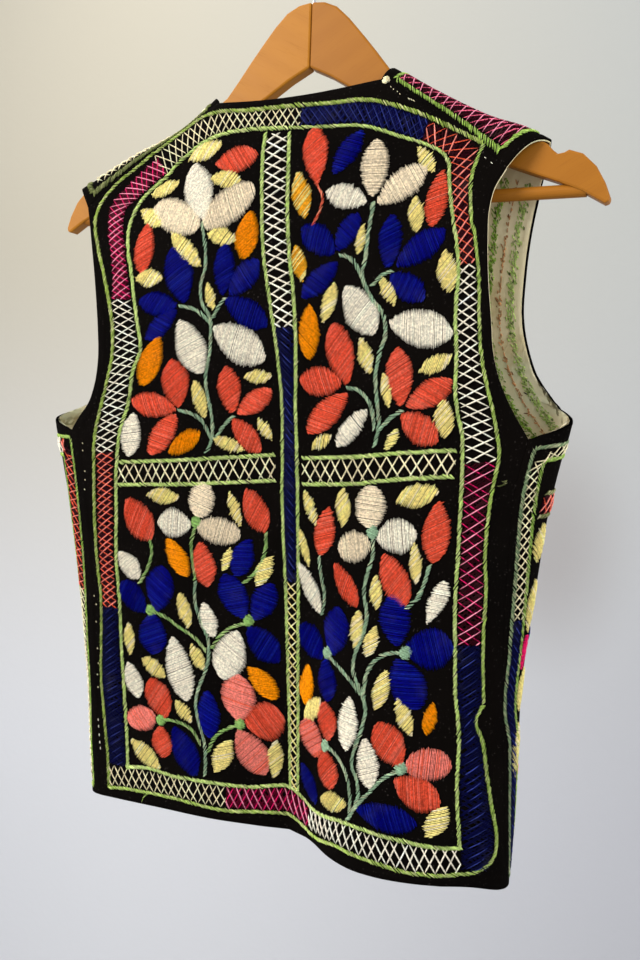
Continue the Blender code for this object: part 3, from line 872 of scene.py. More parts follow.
def crossed(work, band, first, last, fill, radius, rise, colour, uneven):
    """Stitches from one line of a band to the other, cut off square at the band's ends."""
    low = np.clip((0.0 - first) / (last - first), 0.0, 1.0)
    high = np.clip((band.length - first) / (last - first), 0.0, 1.0)
    begin, finish = np.minimum(low, high), np.maximum(low, high)
    keep = finish - begin > SHORTEST
    first, last, begin, finish = first[keep], last[keep], begin[keep], finish[keep]
    edge = fill + chance.normal(0.0, RAGGED, (2, len(first)))
    across = [edge[0] - share * (edge[0] + edge[1]) for share in (begin, finish)]
    start = band.at(first + begin * (last - first), across[0])
    end = band.at(first + finish * (last - first), across[1])
    work.sew(start, end, radius, rise, colour, uneven)


def herringbone(work, band, under, over, pitch, lean, radius, fill=FILL):
    """Crossed stitches: two sets lean opposite ways, by the lean in pitches, along the band."""
    for way, rise, dye in ((-1, 0.0003, under), (1, 0.0008, over)):
        first = np.arange(-lean * pitch, band.length + lean * pitch, pitch)
        first = first + chance.normal(0.0, pitch * BAND_SPREAD, len(first))
        last = first + way * pitch * (lean + chance.normal(0.0, BAND_SPREAD, len(first)))
        crossed(work, band, first, last, fill, radius, rise, DYES[dye], uneven=0.10)


def close_filling(work, band, colour, pitch, fill, rise=0.0003, lean=0.012, radius=0.0007):
    """Parallel slanting stitches laid close, over a thinner set that leans the other way."""
    for way, height, step in ((-1, 0.0, 1.5), (1, rise, 1.0)):
        first = np.arange(-lean, band.length + lean, pitch * step)
        last = first + way * lean + chance.normal(0.0, pitch, len(first))
        crossed(work, band, first, last, fill, radius, height, colour, uneven=0.22)


SAMPLES = np.linspace(-1.0, 1.0, 121)  # places at which a line across a petal is tried
LINE_REACH = 1.05  # how far those lines run past the petal's half width
FEWEST = 5  # samples inside the outline that a stitch needs
MISSED = 0.0  # share of a petal's stitches left out
SATIN_SPREAD = 0.14  # unevenness of its stitches, in pitches
FLATTEST, ROUNDING = 0.15, 0.7  # least share of the fullness, and how it grows with the length
LIFT = 0.0002  # unevenness of the stitches' heights


def petal(work, base, direction, length, width, colour, form, lean, pitch=0.00078,
          radius=0.00049, fullness=0.0006, ragged=0.0005, uneven=0.07, second=None, share=0.0):
    """Satin stitch over a leaf, whose half width rises to its widest place and falls to its tip.

    The form gives the widest place along the leaf, and how round its base and its tip are
    (the power of a sine).  Parallel lines cross the leaf at the lean from its axis, and
    each is cut where it leaves the outline.  Fullness is how high the longest stitches stand.
    A share of the stitches may be in a second colour.
    """
    widest, base_power, tip_power = form
    slope = math.radians(lean)
    spread = abs(width / 2 / math.tan(slope))
    crossing = np.arange(-spread, length + spread, pitch / math.sin(slope))
    crossing = crossing[chance.random(len(crossing)) > MISSED]
    crossing = crossing + chance.normal(0.0, pitch * SATIN_SPREAD, len(crossing))
    travel = SAMPLES * (width / 2 / math.sin(slope)) * LINE_REACH
    u = np.clip((crossing[:, None] + travel * math.cos(slope)) / length, 0.0, 1.0)
    rising = np.sin(math.pi / 2 * np.minimum(u / widest, 1.0)) ** base_power
    falling = np.sin(math.pi / 2 * np.minimum((1 - u) / (1 - widest), 1.0)) ** tip_power
    inside = np.abs(travel * math.sin(slope)) < width / 2 * rising * falling
    keep = inside.sum(axis=1) > FEWEST
    crossing, inside = crossing[keep], inside[keep]
    enter = travel[inside.argmax(axis=1)]
    leave = travel[inside.shape[1] - 1 - inside[:, ::-1].argmax(axis=1)]
    enter = enter + chance.normal(0.0, ragged, len(enter))
    leave = leave + chance.normal(0.0, ragged, len(leave))
    turn = math.radians(direction)
    axis = np.array([math.cos(turn), math.sin(turn)])
    side = np.array([-axis[1], axis[0]])
    across = axis * math.cos(slope) + side * math.sin(slope)
    middle = np.asarray(base) + crossing[:, None] * axis
    start, end = middle + enter[:, None] * across, middle + leave[:, None] * across
    rise = fullness * np.clip((leave - enter) / width, FLATTEST, 1.0) ** ROUNDING
    rise = rise + chance.uniform(0.0, LIFT, len(rise))
    picked = chance.random((len(start), 1)) < share
    tint = np.where(picked, colour if second is None else second, colour)
    work.sew(start, end, radius, rise, tint, uneven)


def knot(work, centre, size, colour):
    """A small raised dot where stems meet, worked over and over."""
    for turn, share, height in ((20, 0.50, 0.0004), (80, 0.55, 0.0009)):
        reach = size * share
        way = np.array([math.cos(math.radians(turn)), math.sin(math.radians(turn))])
        petal(work, centre - way * reach, turn, 2 * reach, size, colour, FORMS["oval"], lean=80,
              fullness=height, uneven=0.16)


# ------------------------------------------------------------ colours


def dyed(red, green, blue):
    """A dye's linear colour from its screen values."""
    shade = np.array([red, green, blue]) / 255.0
    return np.where(shade <= 0.04045, shade / 12.92, ((shade + 0.055) / 1.055) ** 2.4)


# how each dye looks on a screen: red, green, blue
SCREEN_COLOURS = {
    "white": (254, 244, 222), "ivory": (250, 232, 200), "cream": (255, 240, 196),
    "yellow": (254, 234, 146), "gold": (252, 180, 36), "orange": (252, 152, 0), "coral": (236, 90, 60),
    "flame": (244, 112, 86), "salmon": (250, 140, 124), "blue": (0, 2, 118),
    "ultramarine": (12, 26, 136), "indigo": (0, 2, 60), "navy": (0, 2, 50), "slate": (44, 54, 124),
    "magenta": (236, 26, 104), "rose": (255, 150, 176), "maroon": (46, 0, 12), "wine": (86, 0, 30),
    "pink": (246, 104, 134), "lime": (146, 182, 76), "grass": (150, 174, 76), "meadow": (163, 192, 89),
    "spring": (186, 212, 118), "leaf_green": (140, 180, 100), "sage": (150, 182, 148),
    "grey_green": (120, 144, 104), "olive": (104, 112, 62), "rust": (206, 150, 100),
}
DYES = {name: dyed(*shade) for name, shade in SCREEN_COLOURS.items()}

# ------------------------------------------------------------ needlework of the back, in millimetres

# bands of the frame, clockwise as seen from behind: outer right, height | inner right, height
FRAME = {
    "neck left": ("cream", [
        (-129, -37, -107, -54), (-115, -27, -98, -46), (-101, -18, -88, -38), (-87, -12, -76, -32),
        (-62, -9, -59, -28), (-42, -11, -40, -27), (8, -14, 8, -31),
    ]),
    "neck right": ("blue", [
        (8, -14, 8, -31), (32, -15, 32, -33), (60, -16, 57, -35), (83, -23, 80, -43),
        (105, -33, 101, -51),
    ]),
    "shoulder right": ("coral", [
        (105, -33, 101, -51), (125, -44, 112, -57), (143, -56, 120, -64), (139, -70, 122, -74),
        (137, -86, 124, -91), (138, -102, 126, -104), (142, -118, 129, -120), (144, -137, 132, -139),
    ]),
    "side right, top": ("white", [
        (144, -137, 132, -139), (147, -160, 132, -160), (148, -180, 132, -180), (151, -203, 134, -203),
        (155, -220, 134, -220), (161, -243, 137, -241), (165, -271, 141, -273),
    ]),
    "side right, middle": ("magenta", [
        (165, -271, 141, -273), (163, -286, 141, -287), (160, -307, 141, -307), (159, -337, 141, -337),
        (161, -360, 141, -360), (161, -397, 142, -397),
    ]),
    "side right, low": ("navy", [
        (161, -397, 142, -397), (164, -438, 145, -438), (161, -448, 148, -448), (166, -464, 149, -462),
        (171, -486, 150, -486), (178, -512, 153, -512), (184, -535, 156, -537), (181, -556, 158, -558),
    ]),
    "hem right": ("white", [
        (160, -560, 157, -540), (127, -561, 124, -539), (99, -558, 96, -537), (65, -556, 66, -535),
        (23, -561, 24, -539),
    ]),
    "hem middle": ("crimson", [
        (23, -561, 24, -539), (6, -555, 8, -532), (-22, -556, -20, -534), (-53, -558, -51, -537),
    ]),
    "hem left": ("cream", [
        (-53, -558, -51, -537), (-100, -557, -100, -537), (-130, -557, -130, -536),
        (-166, -559, -166, -538),
    ]),
    "side left, low": ("navy", [
        (-166, -538, -145, -538), (-168, -497, -144, -497), (-170, -461, -144, -461),
        (-168, -439, -144, -436), (-165, -401, -144, -401),
    ]),
    "side left, middle": ("coral", [
        (-165, -401, -144, -401), (-168, -363, -146, -361), (-168, -320, -144, -316),
        (-167, -288, -143, -285), (-167, -275, -142, -272),
    ]),
    "side left, top": ("white", [
        (-167, -275, -142, -272), (-166, -262, -140, -258), (-160, -240, -131, -236),
        (-153, -215, -126, -208), (-149, -195, -121, -192), (-151, -172, -125, -172),
        (-155, -150, -130, -152),
    ]),
    "shoulder left": ("crimson", [
        (-154, -150, -130, -152), (-156, -129, -138, -127), (-160, -110, -141, -112),
        (-164, -98, -144, -100), (-166, -85, -146, -88), (-165, -72, -144, -77),
        (-158, -63, -137, -73), (-145, -53, -129, -67), (-132, -43, -117, -59), (-122, -36, -107, -54),
    ]),
}

# a lattice's own pitch, run along the band (in metres) and share of the band's width
WEAVES = {
    "neck left": (0.0066, 0.0098, 0.88),
    "shoulder right": (0.0076, 0.0110, 0.82),
    "side right, top": (0.0071, 0.0097, 0.84),
    "side right, middle": (0.0079, 0.0112, 0.84),
    "hem right": (0.0070, 0.0098, 0.88),
    "shoulder left": (0.0058, 0.0104, 0.84),
    "side left, top": (0.0066, 0.0100, 0.86),
    "side left, middle": (0.0058, 0.0090, 0.72),
}

# green lines: each runs smoothly between corners; dye | width | right of the centre and height
LINES = [
    ("grass", 4.2, [
        (-167, -560), (-166, -526), (-168, -497), (-170, -461), (-168, -439), (-165, -396),
        (-168, -363), (-168, -320), (-167, -288), (-166, -262), (-160, -240), (-152, -215),
        (-149, -198), (-150, -175), (-159, -142), (-168, -118), (-175, -100), (-179, -83), (-176, -72),
        (-169, -63), (-157, -53), (-142, -44), (-129, -35), (-115, -27), (-102, -19), (-87, -12),
        (-74, -9), (-62, -9), (-42, -11), (-3, -13), (30, -15), (60, -16), (83, -23), (106, -33),
        (117, -39), (128, -45), (144, -54)
    ]),
    ("meadow", 3.1, [
        (144, -54), (141, -63), (138, -73), (137, -86), (138, -97), (139, -108), (142, -118),
        (144, -130), (146, -145), (148, -176), (151, -203), (155, -220), (162, -247), (165, -270),
        (163, -281), (160, -307), (159, -337), (161, -360), (161, -379), (162, -405), (165, -438)
    ]),
    ("meadow", 3.6, [
        (165, -438), (160, -448), (166, -464), (171, -486), (178, -512), (184, -533), (183, -546),
        (175, -555), (153, -560), (127, -561), (99, -558), (65, -556), (23, -562), (6, -556),
        (-22, -556), (-50, -559), (-102, -557), (-128, -557), (-162, -559), (-168, -560)
    ]),
    ("spring", 4.1, [
        (-145, -540), (-144, -515), (-144, -478), (-144, -436), (-144, -394), (-146, -361),
        (-144, -316), (-143, -285), (-140, -258), (-131, -236), (-126, -208), (-120, -192),
        (-124, -174), (-130, -149), (-134, -131), (-139, -113), (-141, -97), (-138, -84), (-131, -72),
        (-119, -62), (-106, -53), (-101, -47), (-90, -40), (-76, -32), (-59, -28), (-40, -27),
        (-1, -30)
    ]),
    ("spring", 3.3, [
        (-1, -30), (32, -33), (57, -35), (85, -45), (96, -49), (108, -54), (116, -59), (121, -66),
        (122, -76), (124, -91), (127, -108), (130, -123), (132, -139), (132, -171), (134, -203),
        (134, -220), (136, -237), (140, -253), (141, -270), (141, -315), (141, -380), (143, -406),
        (145, -432), (149, -458), (151, -500), (157, -542)
    ]),
    ("spring", 3.8, [
        (159, -540), (149, -541), (111, -538), (73, -535), (24, -539), (9, -532), (-34, -536),
        (-72, -537), (-100, -537), (-126, -535), (-147, -538)
    ]),
]
CENTRE_LEFT = [(-20, -31), (-20, -52), (-18, -81), (-15, -115), (-11, -138), (-6, -161),
               (-2, -180), (2, -205), (5, -231), (5, -267), (4, -305), (6, -380), (6, -459),
               (4, -532)]
CENTRE_RIGHT = [(0, -33), (2, -60), (4, -94), (8, -128), (12, -151), (15, -180), (16, -205),
                (16, -231), (17, -267), (17, -305), (17, -380), (15, -459), (12, -532)]
# bands down the centre: dye | top, foot | lattice of its own: dye on top, pitch, lean, radius
CENTRE_BANDS = [("white", -33, -178, "white", 0.0077, 1.3, 0.0009), ("navy", -178, -366),
                ("cream", -366, -533, "yellow", 0.0076, 1.1, 0.0006)]

# bands across: upper edge | lower edge
CROSS_LEFT = ([(-141, -281), (-64, -276), (-14, -272), (-1, -271)],
              [(-142, -299), (-65, -295), (-14, -291), (-1, -290)])
CROSS_RIGHT = ([(21, -273), (69, -270), (98, -267), (137, -264)],
               [(21, -292), (69, -289), (98, -285), (136, -282)])

# colour | right of the centre, height of the petal's foot | direction | length | width
UPPER_LEFT = [
    ("white", -67, -94, 108, 48, 28),
    ("ivory", -71, -99, 156, 50, 27),
    ("ivory", -67, -99, 34, 50, 29),
    ("yellow", -88, -44, 16, 33, 16),
    ("coral", -61, -51, 4, 37, 21),
    ("yellow", -64, -62, -8, 28, 14),
    ("yellow", -122, -70, 19, 29, 12),
    ("yellow", -130, -80, -32, 28, 14),
    ("yellow", -98, -101, -43, 43, 15),
    ("yellow", -63, -105, -14, 27, 14),
    ("orange", -26, -90, -98, 37, 20),
    ("coral", -121, -91, -95, 41, 21),
    ("yellow", -130, -135, -2, 29, 15),
    ("blue", -80, -157, 107, 47, 27),
    ("blue", -87, -159, 172, 38, 19),
    ("blue", -87, -162, -143, 36, 17),
    ("orange", -101, -182, -115, 42, 22),
    ("white", -85, -170, -60, 47, 27),
    ("white", -53, -176, -31, 51, 28),
    ("blue", -46, -153, 91, 40, 18),
    ("blue", -40, -153, 50, 34, 21),
    ("blue", -44, -155, -31, 42, 21),
    ("yellow", -60, -142, -75, 23, 9),
    ("coral", -83, -237, 99, 38, 26),
    ("coral", -85, -239, 170, 43, 20),
    ("coral", -84, -242, -130, 41, 20),
    ("yellow", -69, -215, -72, 31, 13),
    ("coral", -36, -241, 98, 36, 20),
    ("coral", -32, -241, 31, 34, 17),
    ("coral", -36, -245, -48, 34, 18),
    ("yellow", -27, -214, 2, 24, 11),
    ("yellow", -15, -244, -55, 20, 9),
    ("white", -124, -241, -103, 36, 21),
    ("orange", -92, -273, 33, 34, 16),
    ("yellow", -53, -260, -17, 28, 11),
]
UPPER_RIGHT = [
    ("coral", 26, -77, 97, 45, 20, "drop"),
    ("blue", 38, -69, 57, 36, 17),
    ("gold", 10, -64, -77, 37, 16),
    ("ivory", 69, -88, 90, 42, 21, "petal"),
    ("ivory", 73, -93, 37, 42, 22, "petal"),
    ("white", 65, -91, 163, 33, 19),
    ("yellow", 99, -53, -58, 24, 11),
    ("coral", 118, -71, -99, 41, 16),
    ("yellow", 100, -89, -86, 26, 12),
    ("yellow", 123, -127, -84, 32, 15),
    ("gold", 12, -118, -75, 29, 12),
    ("blue", 43, -127, 140, 34, 21),
    ("blue", 45, -125, 62, 30, 17),
    ("blue", 46, -133, -138, 36, 18),
    ("yellow", 64, -107, -98, 22, 8),
    ("blue", 83, -139, 88, 38, 17),
    ("blue", 89, -138, 37, 41, 20),
    ("blue", 85, -143, -37, 31, 19),
    ("yellow", 79, -145, -63, 23, 10),
    ("yellow", 45, -147, -106, 30, 12),
    ("white", 53, -150, -57, 42, 25),
    ("orange", 25, -162, -87, 40, 17),
    ("coral", 57, -220, 105, 46, 22),
    ("coral", 53, -220, 172, 34, 22),
    ("coral", 58, -226, -139, 43, 20),
    ("yellow", 66, -187, -73, 27, 11),
    ("white", 86, -176, -13, 46, 27),
    ("coral", 97, -235, 95, 41, 20),
    ("coral", 101, -235, 29, 36, 19),
    ("coral", 98, -240, -38, 32, 21),
    ("yellow", 109, -212, 29, 25, 13),
    ("yellow", 84, -211, -80, 26, 8),
    ("yellow", 127, -229, -88, 28, 14),
    ("white", 73, -237, -131, 35, 15),
    ("yellow", 29, -267, 37, 21, 10),
    ("yellow", 96, -250, -120, 18, 8),
]
LOWER_LEFT = [
    ("ivory", -67, -321, 76, 28, 23),
    ("white", -73, -327, 180, 31, 24),
    ("ivory", -68, -329, -6, 37, 22),
    ("yellow", -114, -306, 0, 31, 14),
    ("coral", -133, -309, -57, 40, 27),
    ("yellow", -40, -300, -71, 28, 10),
    ("coral", -25, -297, -68, 36, 21),
    ("white", -144, -354, -42, 29, 19),
    ("orange", -96, -339, -58, 35, 18),
    ("coral", -66, -340, -82, 36, 21),
    ("yellow", -39, -343, -114, 21, 9),
    ("blue", -23, -336, -116, 32, 20),
    ("yellow", -5, -347, -120, 29, 13),
    ("blue", -118, -401, 136, 33, 23),
    ("blue", -106, -399, 83, 38, 27),
    ("blue", -110, -401, -96, 35, 28),
    ("blue", -29, -398, 118, 38, 25),
    ("blue", -22, -398, 59, 34, 21),
    ("yellow", -85, -381, -76, 30, 13),
    ("white", -65, -388, -73, 29, 15),
    ("yellow", -135, -411, -91, 28, 12),
    ("blue", -27, -404, -46, 36, 24),
    ("white", -93, -418, -79, 54, 25),
    ("white", -35, -408, -111, 44, 29),
    ("yellow", -124, -440, -27, 27, 15),
    ("yellow", -76, -422, -66, 24, 12),
    ("white", -138, -445, -74, 31, 19),
    ("orange", -28, -436, -44, 34, 19),
    ("coral", -103, -488, 111, 35, 27),
    ("salmon", -113, -489, -169, 30, 22),
    ("coral", -108, -495, -91, 28, 21),
    ("salmon", -38, -482, 88, 39, 31, "petal"),
    ("coral", -33, -481, 6, 35, 32),
    ("salmon", -39, -489, -58, 41, 28, "petal"),
    ("blue", -64, -459, -89, 40, 20),
    ("blue", -95, -493, -68, 44, 24),
    ("yellow", -93, -471, -52, 22, 12),
    ("yellow", -140, -512, -37, 36, 18),
    ("yellow", -44, -498, -121, 34, 17),
    ("yellow", -6, -493, -98, 33, 14),
]
LOWER_RIGHT = [
    ("yellow", 23, -296, -68, 28, 10),
    ("yellow", 18, -324, -72, 30, 8),
    ("yellow", 56, -292, -89, 29, 13),
    ("coral", 45, -307, -102, 37, 19),
    ("ivory", 78, -320, 91, 30, 24),
    ("white", 83, -328, 13, 30, 26),
    ("ivory", 78, -329, -157, 26, 23),
    ("yellow", 96, -301, 19, 32, 17),
    ("coral", 127, -299, -94, 43, 20),
    ("yellow", 111, -328, -86, 30, 9),
    ("coral", 51, -347, -56, 36, 15),
    ("coral", 89, -337, -64, 40, 21),
    ("white", 17, -350, -58, 42, 15),
    ("yellow", 84, -352, -86, 26, 10),
    ("white", 134, -354, -112, 33, 13, "bud"),
    ("yellow", 73, -378, -95, 28, 11),
    ("yellow", 87, -388, -107, 25, 11),
    ("blue", 43, -419, 138, 33, 24),
    ("blue", 54, -414, 88, 36, 23),
    ("blue", 47, -417, -88, 33, 20),
    ("blue", 103, -401, 100, 37, 23),
    ("blue", 108, -402, 3, 34, 30),
    ("blue", 102, -410, -61, 39, 26),
    ("orange", 27, -426, -97, 33, 16),
    ("yellow", 41, -449, -132, 29, 15),
    ("white", 69, -441, -92, 41, 18),
    ("white", 83, -469, -80, 37, 18),
    ("yellow", 96, -418, -102, 31, 13),
    ("yellow", 105, -437, -67, 29, 12),
    ("orange", 130, -438, -97, 24, 10),
    ("coral", 49, -480, 95, 30, 22),
    ("salmon", 40, -494, 133, 31, 27),
    ("coral", 46, -487, -76, 30, 25),
    ("blue", 17, -507, -57, 33, 18),
    ("yellow", 42, -528, 15, 31, 16),
    ("blue", 80, -521, -7, 46, 21),
    ("coral", 110, -486, 121, 35, 24),
    ("salmon", 114, -485, 8, 32, 24),
    ("coral", 107, -494, -30, 38, 24),
    ("yellow", 146, -511, -121, 27, 16),
]

# stems from the flower down: dye | right of the centre and height
STEMS = {
    "upper_left": [
        ("sage", [(-69, -95), (-65, -110), (-63, -130), (-66, -146), (-64, -158), (-56, -170),
                  (-55, -182), (-56, -199), (-59, -215), (-56, -232), (-53, -249), (-54, -261),
                  (-59, -272)]),
        ("sage", [(-86, -159), (-74, -161), (-64, -166), (-56, -173)]),
        ("sage", [(-43, -154), (-49, -161), (-54, -170)]),
        ("sage", [(-84, -239), (-72, -241), (-62, -247), (-54, -261)]),
        ("sage", [(-34, -242), (-43, -250), (-51, -261)]),
    ],
    "upper_right": [
        ("coral", [(26, -76), (31, -84), (30, -94), (24, -106)]),
        ("sage", [(70, -91), (68, -108), (67, -128), (65, -144), (73, -160), (82, -172),
                  (84, -184), (80, -200), (78, -216), (80, -232), (82, -246), (79, -264)]),
        ("sage", [(46, -128), (54, -130), (60, -136), (65, -145)]),
        ("sage", [(87, -140), (79, -144), (72, -152)]),
        ("sage", [(56, -222), (66, -224), (74, -232), (79, -252)]),
        ("sage", [(99, -237), (90, -243), (81, -253)]),
    ],
    "lower_left": [
        ("leaf_green", [(-70, -329), (-74, -342), (-73, -356), (-71, -371)]),
        ("sage", [(-71, -371), (-72, -386), (-68, -402),
                  (-62, -416), (-61, -429), (-65, -444), (-72, -460), (-75, -473), (-73, -487),
                  (-69, -500), (-68, -517), (-70, -533)]),
        ("leaf_green", [(-112, -399), (-99, -403), (-86, -410), (-72, -418), (-63, -428)]),
        ("leaf_green", [(-27, -401), (-43, -407), (-52, -415), (-59, -425)]),
        ("leaf_green", [(-106, -489), (-92, -489), (-81, -493), (-71, -506)]),
        ("leaf_green", [(-38, -485), (-51, -491), (-60, -499), (-66, -512)]),
        ("leaf_green", [(-112, -341), (-110, -350), (-114, -363), (-124, -379)]),
        ("leaf_green", [(-10, -329), (-11, -344), (-17, -358), (-30, -371)]),
    ],
    "lower_right": [
        ("sage", [(80, -326), (81, -340), (77, -354), (76, -367), (79, -381), (77, -395),
                  (71, -412), (71, -424), (78, -436), (82, -450), (79, -467), (75, -480),
                  (74, -491), (79, -501), (81, -512), (78, -523), (73, -533)]),
        ("sage", [(46, -413), (58, -421), (69, -430), (78, -438)]),
        ("sage", [(108, -405), (93, -408), (84, -417), (80, -434), (80, -442)]),
        ("sage", [(46, -483), (60, -488), (69, -498), (74, -512), (75, -527)]),
        ("sage", [(112, -487), (100, -495), (89, -508), (80, -520), (73, -533)]),
        ("sage", [(36, -343), (39, -358), (43, -371), (41, -387)]),
        ("sage", [(122, -342), (119, -355), (115, -366), (106, -375)]),
    ],
}
KNOTS = {
    "lower_left": [(-69, -325), (-113, -399), (-26, -399), (-108, -490), (-37, -484)],
    "lower_right": [(80, -323), (48, -413), (109, -405), (47, -484), (111, -487)],
}

# basting and loose ends left on the margins: dye | right of the centre and height
BASTING = [
    ("white", [(-176, -500), (-174, -530)]),
    ("white", [(145, -64), (152, -70)]),
    ("cream", [(88, -17), (94, -20)]),
    ("lime", [(-127, -558), (-131, -562), (-133, -567)]),
    ("olive", [(165, -288), (170, -286), (172, -284), (168, -285)]),
]
CENTRE_LINE = 0.0037  # width of the lines beside the centre and cross bands
LOOSE_END = 0.0016
NECK_KNOT = (71, -2)
# single small stitches there, each running down from its place
DOT_RUN = (0.0006, -0.0011)
DOTS = [
    (-180, -266), (-180, -272), (-178, -289), (-178, -296), (-179, -304), (-174, -393), (-172, -400),
    (-173, -415), (-173, -438), (-173, -451), (-175, -461), (-175, -472), (75, -7), (77, -9),
    (80, -11), (82, -13),
]

# ------------------------------------------------------------ needlework of the fronts and shoulders

# colour | from the centre front, height of the petal's foot | direction | length | width
FRONT_UPPER = [
    ("white", 88, -118, 90, 36, 21),
    ("ivory", 84, -122, 155, 32, 19),
    ("ivory", 92, -122, 28, 34, 20),
    ("yellow", 116, -92, -70, 24, 10),
    ("coral", 128, -120, -80, 36, 17),
    ("yellow", 66, -92, -110, 22, 9),
    ("blue", 112, -172, 60, 34, 19),
    ("blue", 108, -176, -40, 33, 18),
    ("blue", 104, -172, 120, 30, 17),
    ("coral", 60, -178, 110, 34, 19),
    ("coral", 56, -182, 178, 28, 18),
    ("coral", 60, -186, -120, 31, 18),
    ("orange", 140, -168, -88, 34, 15),
    ("yellow", 78, -198, -65, 27, 11),
    ("white", 40, -210, -60, 37, 19),
    ("yellow", 128, -208, -55, 30, 13),
    ("white", 156, -226, -70, 38, 19),
]
FRONT_LOWER = [
    ("ivory", 118, -322, 90, 32, 24),
    ("white", 123, -328, 8, 34, 25),
    ("ivory", 113, -328, 170, 33, 23),
    ("yellow", 150, -316, -30, 28, 13),
    ("yellow", 76, -306, -100, 26, 11),
    ("coral", 58, -318, -95, 38, 20),
    ("coral", 172, -330, -85, 40, 20),
    ("yellow", 216, -312, -98, 29, 15),
    ("orange", 92, -340, -120, 34, 16),
    ("yellow", 142, -352, -70, 29, 11),
    ("blue", 82, -398, 75, 36, 23),
    ("blue", 76, -402, 175, 33, 21),
    ("blue", 80, -407, -98, 35, 22),
    ("blue", 156, -396, 100, 36, 22),
    ("blue", 162, -400, 20, 35, 21),
    ("blue", 156, -406, -55, 37, 23),
    ("yellow", 209, -350, -98, 39, 13),
    ("magenta", 203, -390, -90, 24, 8, "block"),
    ("white", 44, -372, -85, 38, 17),
    ("white", 112, -398, -92, 40, 18),
    ("yellow", 197, -413, -88, 31, 12),
    ("yellow", 198, -451, -88, 40, 12),
    ("yellow", 104, -442, -110, 28, 11),
    ("white", 142, -444, -75, 44, 21),
    ("orange", 48, -438, -80, 32, 14),
    ("coral", 84, -486, 98, 33, 21),
    ("salmon", 78, -490, 175, 31, 23),
    ("coral", 84, -496, -70, 33, 22),
    ("coral", 164, -488, 95, 33, 21),
    ("salmon", 168, -490, 4, 22, 20),
    ("coral", 162, -496, -120, 32, 21),
    ("blue", 120, -500, -75, 34, 18),
    ("yellow", 46, -500, -60, 30, 12),
    ("yellow", 190, -512, -110, 27, 12),
]
FRONT_STEMS = [
    [(88, -118), (86, -140), (90, -160), (88, -184), (84, -206), (90, -232), (96, -262)],
    [(108, -173), (98, -182), (88, -196)],
    [(61, -181), (72, -188), (84, -204)],
    [(118, -326), (121, -350), (118, -376), (120, -402), (124, -430), (120, -458), (122, -486),
     (120, -530)],
    [(82, -402), (96, -408), (110, -420), (123, -434)],
    [(156, -400), (142, -406), (130, -418), (124, -434)],
    [(84, -490), (98, -496), (110, -508), (120, -522)],
    [(164, -490), (148, -496), (132, -508), (121, -524)],
]
FRONT_KNOTS = [(118, -324), (80, -401), (157, -400), (83, -490), (165, -490)]
FRONT_CROSS = ([(22, -280), (90, -283), (160, -288), (225, -292)],
               [(22, -296), (90, -299), (160, -304), (224, -308)])

# a front's outer green, and where each dye starts, as a share of the way round its frame, from
# the hem up the side
FRONT_DYES = {
    LEFT: ("lime", [(0.00, "cream"), (0.105, "coral"), (0.30, "white"), (0.40, "magenta"),
                    (0.50, "navy"), (0.64, "white"), (0.785, "coral"), (0.881, "cream")]),
    RIGHT: ("grey_green", [(0.00, "navy"), (0.125, "white"), (0.30, "magenta"), (0.40, "coral"),
                           (0.50, "cream"), (0.868, "navy")]),
}
FRONT_LINE = 0.0036
FRONT_MARGIN = 0.006  # edge of the piece to the frame's outer line
# how much closer the outer line runs beside the side seam: height | reach
FRONT_SIDE_REACH = {LEFT: [(-0.600, 0.0035), (-0.250, 0.0035)],
                    RIGHT: [(-0.600, -0.030), (-0.560, -0.024), (-0.520, -0.016), (-0.491, -0.009),
                            (-0.449, 0.0035), (-0.400, 0.001), (-0.250, 0.0)]}
FRONT_BAND = {LEFT: 0.016, RIGHT: 0.0095}
INSET_STEP = 0.002
INSET_SLACK = 0.0006  # how much nearer than its distance an inset line may come to the edge

# shoulder bands: dyes of band and line | begin, end of band, end of line | shares of the half
# width at the neck and the arm | width of the line | fill | how far the line's stitches are lightened as
# painted glints
STRIP_FRAME = {
    LEFT: ("cream", "olive", 0.06, 0.885, 0.94, (0.86, 0.82), 0.0056, 0.62, 0.15),
    RIGHT: ("pink", "lime", 0.08, 0.905, 0.915, (0.78, 0.90), 0.0040, 0.84, 0.25),
}

FRONT_MIDDLE = (0.10, -0.16)  # a place well inside a front, beside its armhole
# backs of stitches on the lining: from the armhole edge | width | colour
LINING_LINES = [(0.008, 0.0056, "spring"), (0.017, 0.0016, "rust"), (0.026, 0.0056, "lime")]
FINE_LINE = 0.002  # width under which a line is a row of stitches
LINING_START, LINING_STOP = 0.020, 0.004  # from the armhole's foot, and short of its top
ROLL = 0.0013  # radius of the black edge of the fronts there
PIPING = 0.0006  # radius of the cream edge of the back's armholes
PIPING_OUT = 0.0002


# ------------------------------------------------------------ finishes


class Value:
    """A socket whose sums and products become Math nodes."""

    def __init__(self, finish, socket):
        self.finish = finish
        self.socket = socket

    def maths(self, operation, first, second=0.0):
        return self.finish.node("ShaderNodeMath", {"operation": operation}, {0: first, 1: second})

    def __add__(self, other):
        return self.maths("ADD", self, other)

    def __radd__(self, other):
        return self.maths("ADD", other, self)

    def __mul__(self, other):
        return self.maths("MULTIPLY", self, other)

    def __rmul__(self, other):
        return self.maths("MULTIPLY", other, self)

    def sine(self):
        return self.maths("SINE", self)

    def axis(self, letter):
        """One part of a vector: X, Y or Z."""
        return self.finish.node("ShaderNodeSeparateXYZ", None, {0: self}, letter)


